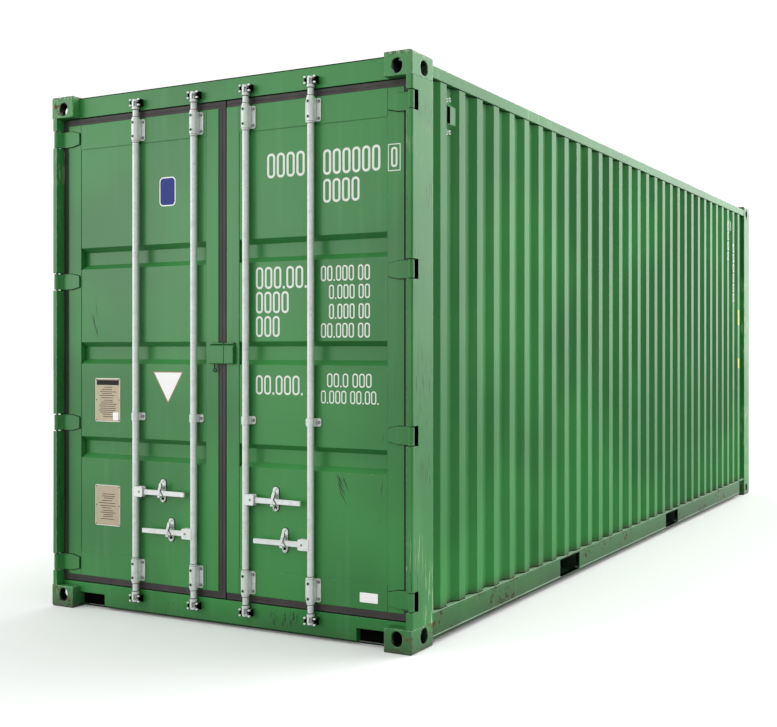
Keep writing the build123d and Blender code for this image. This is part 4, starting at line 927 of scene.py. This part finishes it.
for door, x0, x1, stud in LOCK_PARTS:
    box = bmesh.new()
    prism(box, [at(x0, depth, z) for depth, z in LOCK_PROFILE], (x1 - x0, 0, 0))
    make_piece(door + "_lock_plate", box, enamel, door, broken_edge=1.5)
    studs = bmesh.new()
    turned(studs, at(stud, 35, 1496), UPWARD, [(5, 0), (5, 3), (3, 4.5)], 16)
    make_piece(door + "_lock_plate_stud", studs, bolt_zinc, door)

ring = bmesh.new()
angles = [math.pi * k / 10 for k in range(RING_STEPS)]
path = [at(RING_X + 9 * math.cos(a), RING_DEPTH, RING_LEVEL + 9 * math.sin(a)) for a in angles]
tube(ring, path, [2.7] * RING_STEPS, OUTWARD, closed=True)
wire = [at(x, RING_DEPTH, z) for x, z in ((RING_X, 1387), (-45, 1374), (RING_X, 1362))]
tube(ring, wire, [2.2, 3.4, 2.2], OUTWARD)
make_piece("seal_ring", ring, black_vinyl, "left_door", smooth=True)
print("lock plate parts:", len(LOCK_PARTS))

# %% [markdown]
# A fork pocket is closed below by a strap, and the rail's lower lip runs on under the opening.
# That is what keeps the rail stiff there, and what shows as two thin lines under the hole.

# %% Lips under the fork pockets
POCKETS = (1773, 3715)
POCKET_HALF = 145
POCKET_STRAP = [(1178, 38.5), (1218, 38.5), (1218, 43), (1178, 43)]
POCKET_FOOT = [(1202, 25), (1208, 25), (1208, 38.5), (1202, 38.5)]

lips = bmesh.new()
for side in (-1, 1):
    for middle in POCKETS:
        for outline in (POCKET_STRAP, POCKET_FOOT):
            corners = [at(side * x, middle - POCKET_HALF, z) for x, z in outline]
            prism(lips, corners, (0, 2 * POCKET_HALF, 0))
make_piece("fork_pocket_lips", lips, rail_enamel, broken_edge=0.8)
print("pocket lips:", 2 * len(POCKETS))

# %% [markdown]
# Plates and films are thin sheets with rounded corners. One function gives an outline a
# thickness. The real ones carry words, which stay off: they have plain ruled lines or are bare.
# A data plate has a narrow bright rim, six rivets and, on the upper one, a dark heading.

# %% Plates and films
def door_film(name, outline, finish, door="left_door", thickness=0.5, depth=48.0):
    """A thin sheet on a door, its back at this depth."""
    film = bmesh.new()
    prism(film, [at(x, depth - thickness, z) for x, z in outline], (0, thickness, 0))
    make_piece(name, film, finish, door)


PLATE_SIDES = (-932, -742)
PLATE_FRONT = 46.5
PLATE_RIVET = [(4, 0), (3.4, 1.2), (1.5, 1.8)]
RIM_WIDTH = 2.5
RULE_HEIGHT = 3.4
ROOM_ABOVE = 52
ROOM_BELOW = 22

left, right = PLATE_SIDES
for name, low, high in (("upper", 1057, 1300), ("lower", 474, 701)):
    plate = rounded_outline(left, right, low, high, 8)
    door_film("data_plate_" + name, plate, etched_plate, thickness=1.5)
    rivets = bmesh.new()
    for x in (left + 8, right - 8):
        for z in (low + 8, (low + high) / 2, high - 8):
            turned(rivets, at(x, PLATE_FRONT, z), OUTWARD, PLATE_RIVET, 12)
    make_piece("data_plate_rivets_" + name, rivets, rusty_weld, "left_door", smooth=True)
    rules = bmesh.new()
    z = high - ROOM_ABOVE
    while z > low + ROOM_BELOW:
        half = dice.uniform(30, 64)
        middle = (left + right) / 2 + dice.uniform(-8, 8)
        prism(rules, front_box(middle - half, middle + half, z, z + RULE_HEIGHT, 46.4), (0, 0.2, 0))
        z -= dice.uniform(10, 15)
    make_piece("data_plate_rules_" + name, rules, black_vinyl, "left_door")
    rim = bmesh.new()
    inner = rounded_outline(left + RIM_WIDTH, right - RIM_WIDTH, low + RIM_WIDTH, high - RIM_WIDTH, 6)
    for i in range(len(plate)):
        j = (i + 1) % len(plate)
        corners = (plate[i], plate[j], inner[j], inner[i])
        rim.faces.new([rim.verts.new(at(x, 46.3, z)) for x, z in corners])
    make_piece("data_plate_rim_" + name, rim, white_vinyl, "left_door")

FILMS = (
    ("data_plate_header", rounded_outline(-922, -752, 1262, 1290, 3), black_vinyl, "left_door", 0.3, 46.5),
    ("data_plate_square", rounded_outline(-796, -756, 1066, 1110, 2), white_vinyl, "left_door", 0.5, 46.5),
    ("white_rim_film", rounded_outline(-448, -332, 2241, 2399, 26), white_vinyl, "left_door", 0.4),
    ("blue_film", rounded_outline(-442, -338, 2247, 2393, 21), blue_vinyl, "left_door", 0.7),
    ("tan_triangle", [(-496, 1341), (-386, 1168), (-277, 1341)], tan_vinyl, "left_door", 0.4),
    ("white_triangle", [(-486, 1336), (-386, 1179), (-287, 1336)], white_vinyl, "left_door", 0.6),
    ("white_label", rounded_outline(881, 988, 215, 263, 2), white_vinyl, "right_door", 0.4, 46.0),
)
for film in FILMS:
    door_film(*film)
print("films:", len(FILMS))

# %% [markdown]
# A stencilled number is white enamel, 0.1 mm thick. Real ones name an owner and a size, so
# here every figure is a plain zero, in the real rows and heights, with the stops between
# groups. A condensed zero is a rounded ring with an even stroke, so it needs no font.

# %% Stencilled numbers
def ring_between(shape, sheet, outer, inner):
    """A flat ring of faces between two outlines with as many points."""
    edges = [[shape.verts.new(sheet(u, v)) for u, v in outline] for outline in (outer, inner)]
    band_of_faces(shape, *edges)


def zero(shape, sheet, x, z, width, height, stroke):
    outer = rounded_outline(x, x + width, z, z + height, width * 0.45)
    inner_radius = max(width * 0.45 - stroke, 1)
    inner = rounded_outline(x + stroke, x + width - stroke, z + stroke, z + height - stroke, inner_radius)
    ring_between(shape, sheet, outer, inner)


def number_row(shape, sheet, x0, x1, z0, z1, groups, thin=0.105):
    """Groups of zeros from x0 to x1; "00.0 00" has a stop and a wider gap."""
    widths = {"0": 1.0, ".": 0.26, " ": 0.35}
    gap = 0.2
    unit = (x1 - x0) / (sum(widths[c] for c in groups) + gap * (len(groups) - 1))
    x = x0
    for mark in groups:
        width = widths[mark] * unit
        if mark == "0":
            zero(shape, sheet, x, z0, width, z1 - z0, (z1 - z0) * thin)
        if mark == ".":
            dot = [(x, z0), (x + width, z0), (x + width, z0 + width), (x, z0 + width)]
            shape.faces.new([shape.verts.new(sheet(u, v)) for u, v in dot])
        x += width + gap * unit


def on_panel(x, z):
    return at(x, 47.7, z)


def on_frame(x, z):
    return at(x, 45.7, z)


PANEL_ROWS = (
    (298, 540, 2344, 2472, "0000"), (656, 1002, 2338, 2466, "000000"), (656, 878, 2198, 2318, "0000"),
    (224, 553, 1774, 1888, "000.00."), (224, 438, 1648, 1760, "0000"), (224, 380, 1526, 1634, "000"),
    (224, 528, 1228, 1328, "00.000."),
    (642, 940, 1804, 1882, "00.000 00"), (692, 940, 1714, 1786, "0.000 00"),
    (692, 940, 1614, 1690, "0.000 00"), (642, 940, 1520, 1594, "00.000 00"),
    (680, 950, 1272, 1342, "00.0 000"), (642, 992, 1190, 1256, "0.000 00.00."),
)
numbers = bmesh.new()
for x0, x1, z0, z1, groups in PANEL_ROWS:
    number_row(numbers, on_panel, x0, x1, z0, z1, groups)
outer, inner = rounded_outline(1048, 1121, 2329, 2462, 3), rounded_outline(1053, 1116, 2334, 2457, 1)
ring_between(numbers, on_frame, outer, inner)
number_row(numbers, on_frame, 1066, 1103, 2348, 2446, "0", 0.11)
make_piece("stencilled_numbers", numbers, stencil_white, "right_door")
print("number triangles:", triangle_count["stencilled_numbers"])

# %% [markdown]
# On the side walls the figures stand one above the other on the last crowns, and yellow tape
# marks the lifting height. The left wall, which the photograph doesn't show, repeats the right.

# %% Numbers and tape on the walls
FIGURE_COLUMNS = ((28, 2700, 4), (29, 2500, 6))
FIGURE_STEP = 96
TAPE_RIDGE = 30
TAPE_SPANS = ((1702, 1854), (1279, 1376))

for side, name in WALLS:
    def on_crown(depth, z):
        return at(side * (CROWN + 0.4), depth, z)

    figures = bmesh.new()
    for ridge, top, count in FIGURE_COLUMNS:
        near = FIRST_RIDGE + RIDGE_SPACING * ridge + 8
        for step in range(count):
            zero(figures, on_crown, near, top - FIGURE_STEP * (step + 1), 42, 80, 9)
    make_piece(name + "_wall_numbers", figures, stencil_white)
    tapes = bmesh.new()
    near = FIRST_RIDGE + RIDGE_SPACING * TAPE_RIDGE + 2
    for low, high in TAPE_SPANS:
        corners = rounded_outline(near, near + RIDGE_FLAT - 4, low, high, 6)
        prism(tapes, [at(side * (CROWN + 0.1), depth, z) for depth, z in corners], (side * 0.4, 0, 0))
    make_piece(name + "_wall_tapes", tapes, yellow_vinyl)
print("wall figures:", triangle_count["right_wall_numbers"])

# %% [markdown]
# Scratches on the flat sheet of doors and sill are thin tapering marks down to the primer,
# some crossing. They come in groups where a fork or another container touched. Each mark is a
# narrow strip, bent a little, lying 0.3 mm in front of the paint.

# %% Scratches on the doors and the sill
STRIP_STEPS = 6


def scratch(shape, sheet, start, end, width, bend):
    """A thin strip between two points of a sheet, widest in the middle."""
    run = Vector(end) - Vector(start)
    across = Vector((-run.y, run.x)).normalized()
    rows = []
    for step in range(STRIP_STEPS + 1):
        share = step / STRIP_STEPS
        swell = math.sin(math.pi * share)
        spot = Vector(start) + run * share + across * bend * swell
        half = across * (width / 2) * (0.15 + swell)
        rows.append([shape.verts.new(sheet(*(spot + half))), shape.verts.new(sheet(*(spot - half)))])
    for (a, b), (c, d) in zip(rows, rows[1:]):
        shape.faces.new((a, b, d, c))


def scratch_group(shape, sheet, centre, reach, count, length, lean, width):
    """Marks near one place; lean is their angle from upright in degrees."""
    for _ in range(count):
        x = centre[0] + dice.uniform(-1, 1) * reach[0]
        z = centre[1] + dice.uniform(-1, 1) * reach[1]
        angle = math.radians(lean + dice.uniform(-14, 14))
        half = length * dice.uniform(0.3, 1.0) / 2
        side, rise = half * math.sin(angle), half * math.cos(angle)
        scratch(shape, sheet, (x - side, z - rise), (x + side, z + rise), width, dice.uniform(-4, 4))


SCRATCHES = (
    ("left_door_scratches", on_panel, "left_door", "green_paint",
     (((-936, 1650), (14, 40), 4, 150, -12, 3.0), ((-925, 1560), (8, 14), 3, 50, 5, 3.0))),
    ("right_door_scratches", on_panel, "right_door", "green_paint",
     (((765, 760), (42, 60), 11, 95, -24, 3.2), ((1010, 900), (10, 300), 5, 90, 0, 1.8))),
    ("sill_scuffs", on_frame, "container", "green_paint_worn",
     (((410, 82), (95, 34), 34, 46, 3, 4.0), ((-350, 70), (60, 30), 5, 30, 10, 3.0))),
)
for name, sheet, body, record_slot, groups in SCRATCHES:
    marks = bmesh.new()
    for group in groups:
        scratch_group(marks, sheet, *group)
    make_piece(name, marks, dark_scratch, body)
print("scratches:", sum(triangle_count[row[0]] for row in SCRATCHES), "triangles")

# %% [markdown]
# The floor boards are held by countersunk screws, one row over each cross member, eight in a
# row. They show when the doors are open.

# %% Floor screws
MEMBER_SPACING = 330
MEMBER_COUNT = 17
SCREW_COLUMNS = range(-1050, 1051, 300)
FLOOR_TOP = 183

screws = bmesh.new()
for row in range(1, MEMBER_COUNT + 1):
    for x in SCREW_COLUMNS:
        turned(screws, at(x, MEMBER_SPACING * row, FLOOR_TOP), UPWARD, [(7, 0), (7, 0.3), (2.5, 0.1)], 10)
make_piece("floor_screws", screws, bolt_zinc)
print("floor screws:", MEMBER_COUNT * len(SCREW_COLUMNS))

# %% [markdown]
# The studio of the photograph is a pale floor that runs up into white, and light that is soft
# from every side but stronger from the upper left. The world's colour depends on the
# direction: white ahead and above, greyer behind the camera, so that folds which face the
# camera turn darker. The floor is paper in two shades. To the eye and in reflections it is
# bright. For the light it throws back it is dim, or the lower half of the walls would glow.

# %% Floor and light
floor_sheet = bmesh.new()
bmesh.ops.create_grid(floor_sheet, x_segments=2, y_segments=2, size=60)
floor_mesh = bpy.data.meshes.new("studio_floor")
floor_sheet.to_mesh(floor_mesh)
floor_sheet.free()
studio_floor = bpy.data.objects.new("studio_floor", floor_mesh)
studio_floor.location = (0, 0, cad_low.z - 0.0005)
bpy.context.scene.collection.objects.link(studio_floor)
floor_finish, paper, _ = blank_material("studio_floor_paper")
seen_paper = add(paper, "BsdfDiffuse", {"Color": colour("#f0f1f0")})
seen_paper = add(paper, "AddShader", {0: seen_paper, 1: add(paper, "Emission", {"Strength": 0.08})})
dim_paper = add(paper, "BsdfDiffuse", {"Color": colour("#646464")})
bounced = add(paper, "LightPath", out="Is Diffuse Ray")
both_papers = add(paper, "MixShader", {0: bounced, 1: seen_paper, 2: dim_paper})
add(paper, "OutputMaterial", {"Surface": both_papers})
floor_mesh.materials.append(floor_finish)

studio = bpy.data.worlds.new("studio")
bpy.context.scene.world = studio
studio.use_nodes = True
sky = studio.node_tree
sky.nodes.clear()
direction = add(sky, "TexCoord", out="Generated")


def glow_toward(aim, edge, middle, low, high):
    """Light that grows smoothly from low to high as a direction nears the aim."""
    aim = tuple(Vector(aim).normalized())
    nearness = add(sky, "VectorMath", {0: direction, 1: aim}, out="Value", operation="DOT_PRODUCT")
    levels = {"Value": nearness, "From Min": edge, "From Max": middle, "To Min": low, "To Max": high}
    return add(sky, "MapRange", levels, **SOFT_CUT)


backdrop = glow_toward((-0.5, 0.75, 0.43), -0.5, 0.5, 0.86, 1.05)
right_screen = glow_toward((0.5, 0.8, 0.40), 0.70, 0.95, 0.0, 2.9)
door_screen = glow_toward((-0.75, -0.55, 0.25), 0.60, 0.98, 0.0, 0.5)
brightness = add(sky, "Math", {0: backdrop, 1: right_screen}, operation="ADD")
brightness = add(sky, "Math", {0: brightness, 1: door_screen}, operation="ADD")
glow = add(sky, "Background", {"Color": (1, 1, 1, 1), "Strength": brightness})
add(sky, "OutputWorld", {"Surface": glow})

LAMP_AT = Vector((-6.0, -9.0, 2.9))
LAMP_AIM = Vector((0, -3, 1.6))

lamp = bpy.data.lights.new("door_side", "AREA")
lamp.size = 3.2
lamp.energy = 120
holder = bpy.data.objects.new("door_side", lamp)
holder.location = LAMP_AT
holder.rotation_euler = (LAMP_AIM - LAMP_AT).to_track_quat("-Z", "Y").to_euler()
bpy.context.scene.collection.objects.link(holder)
bpy.context.scene.view_settings.view_transform = "Standard"

# %% [markdown]
# The last cell counts the triangles that the pieces added.

# %% Triangles and the end
print("triangles added:", sum(triangle_count.values()), "largest:", max(triangle_count.values()))
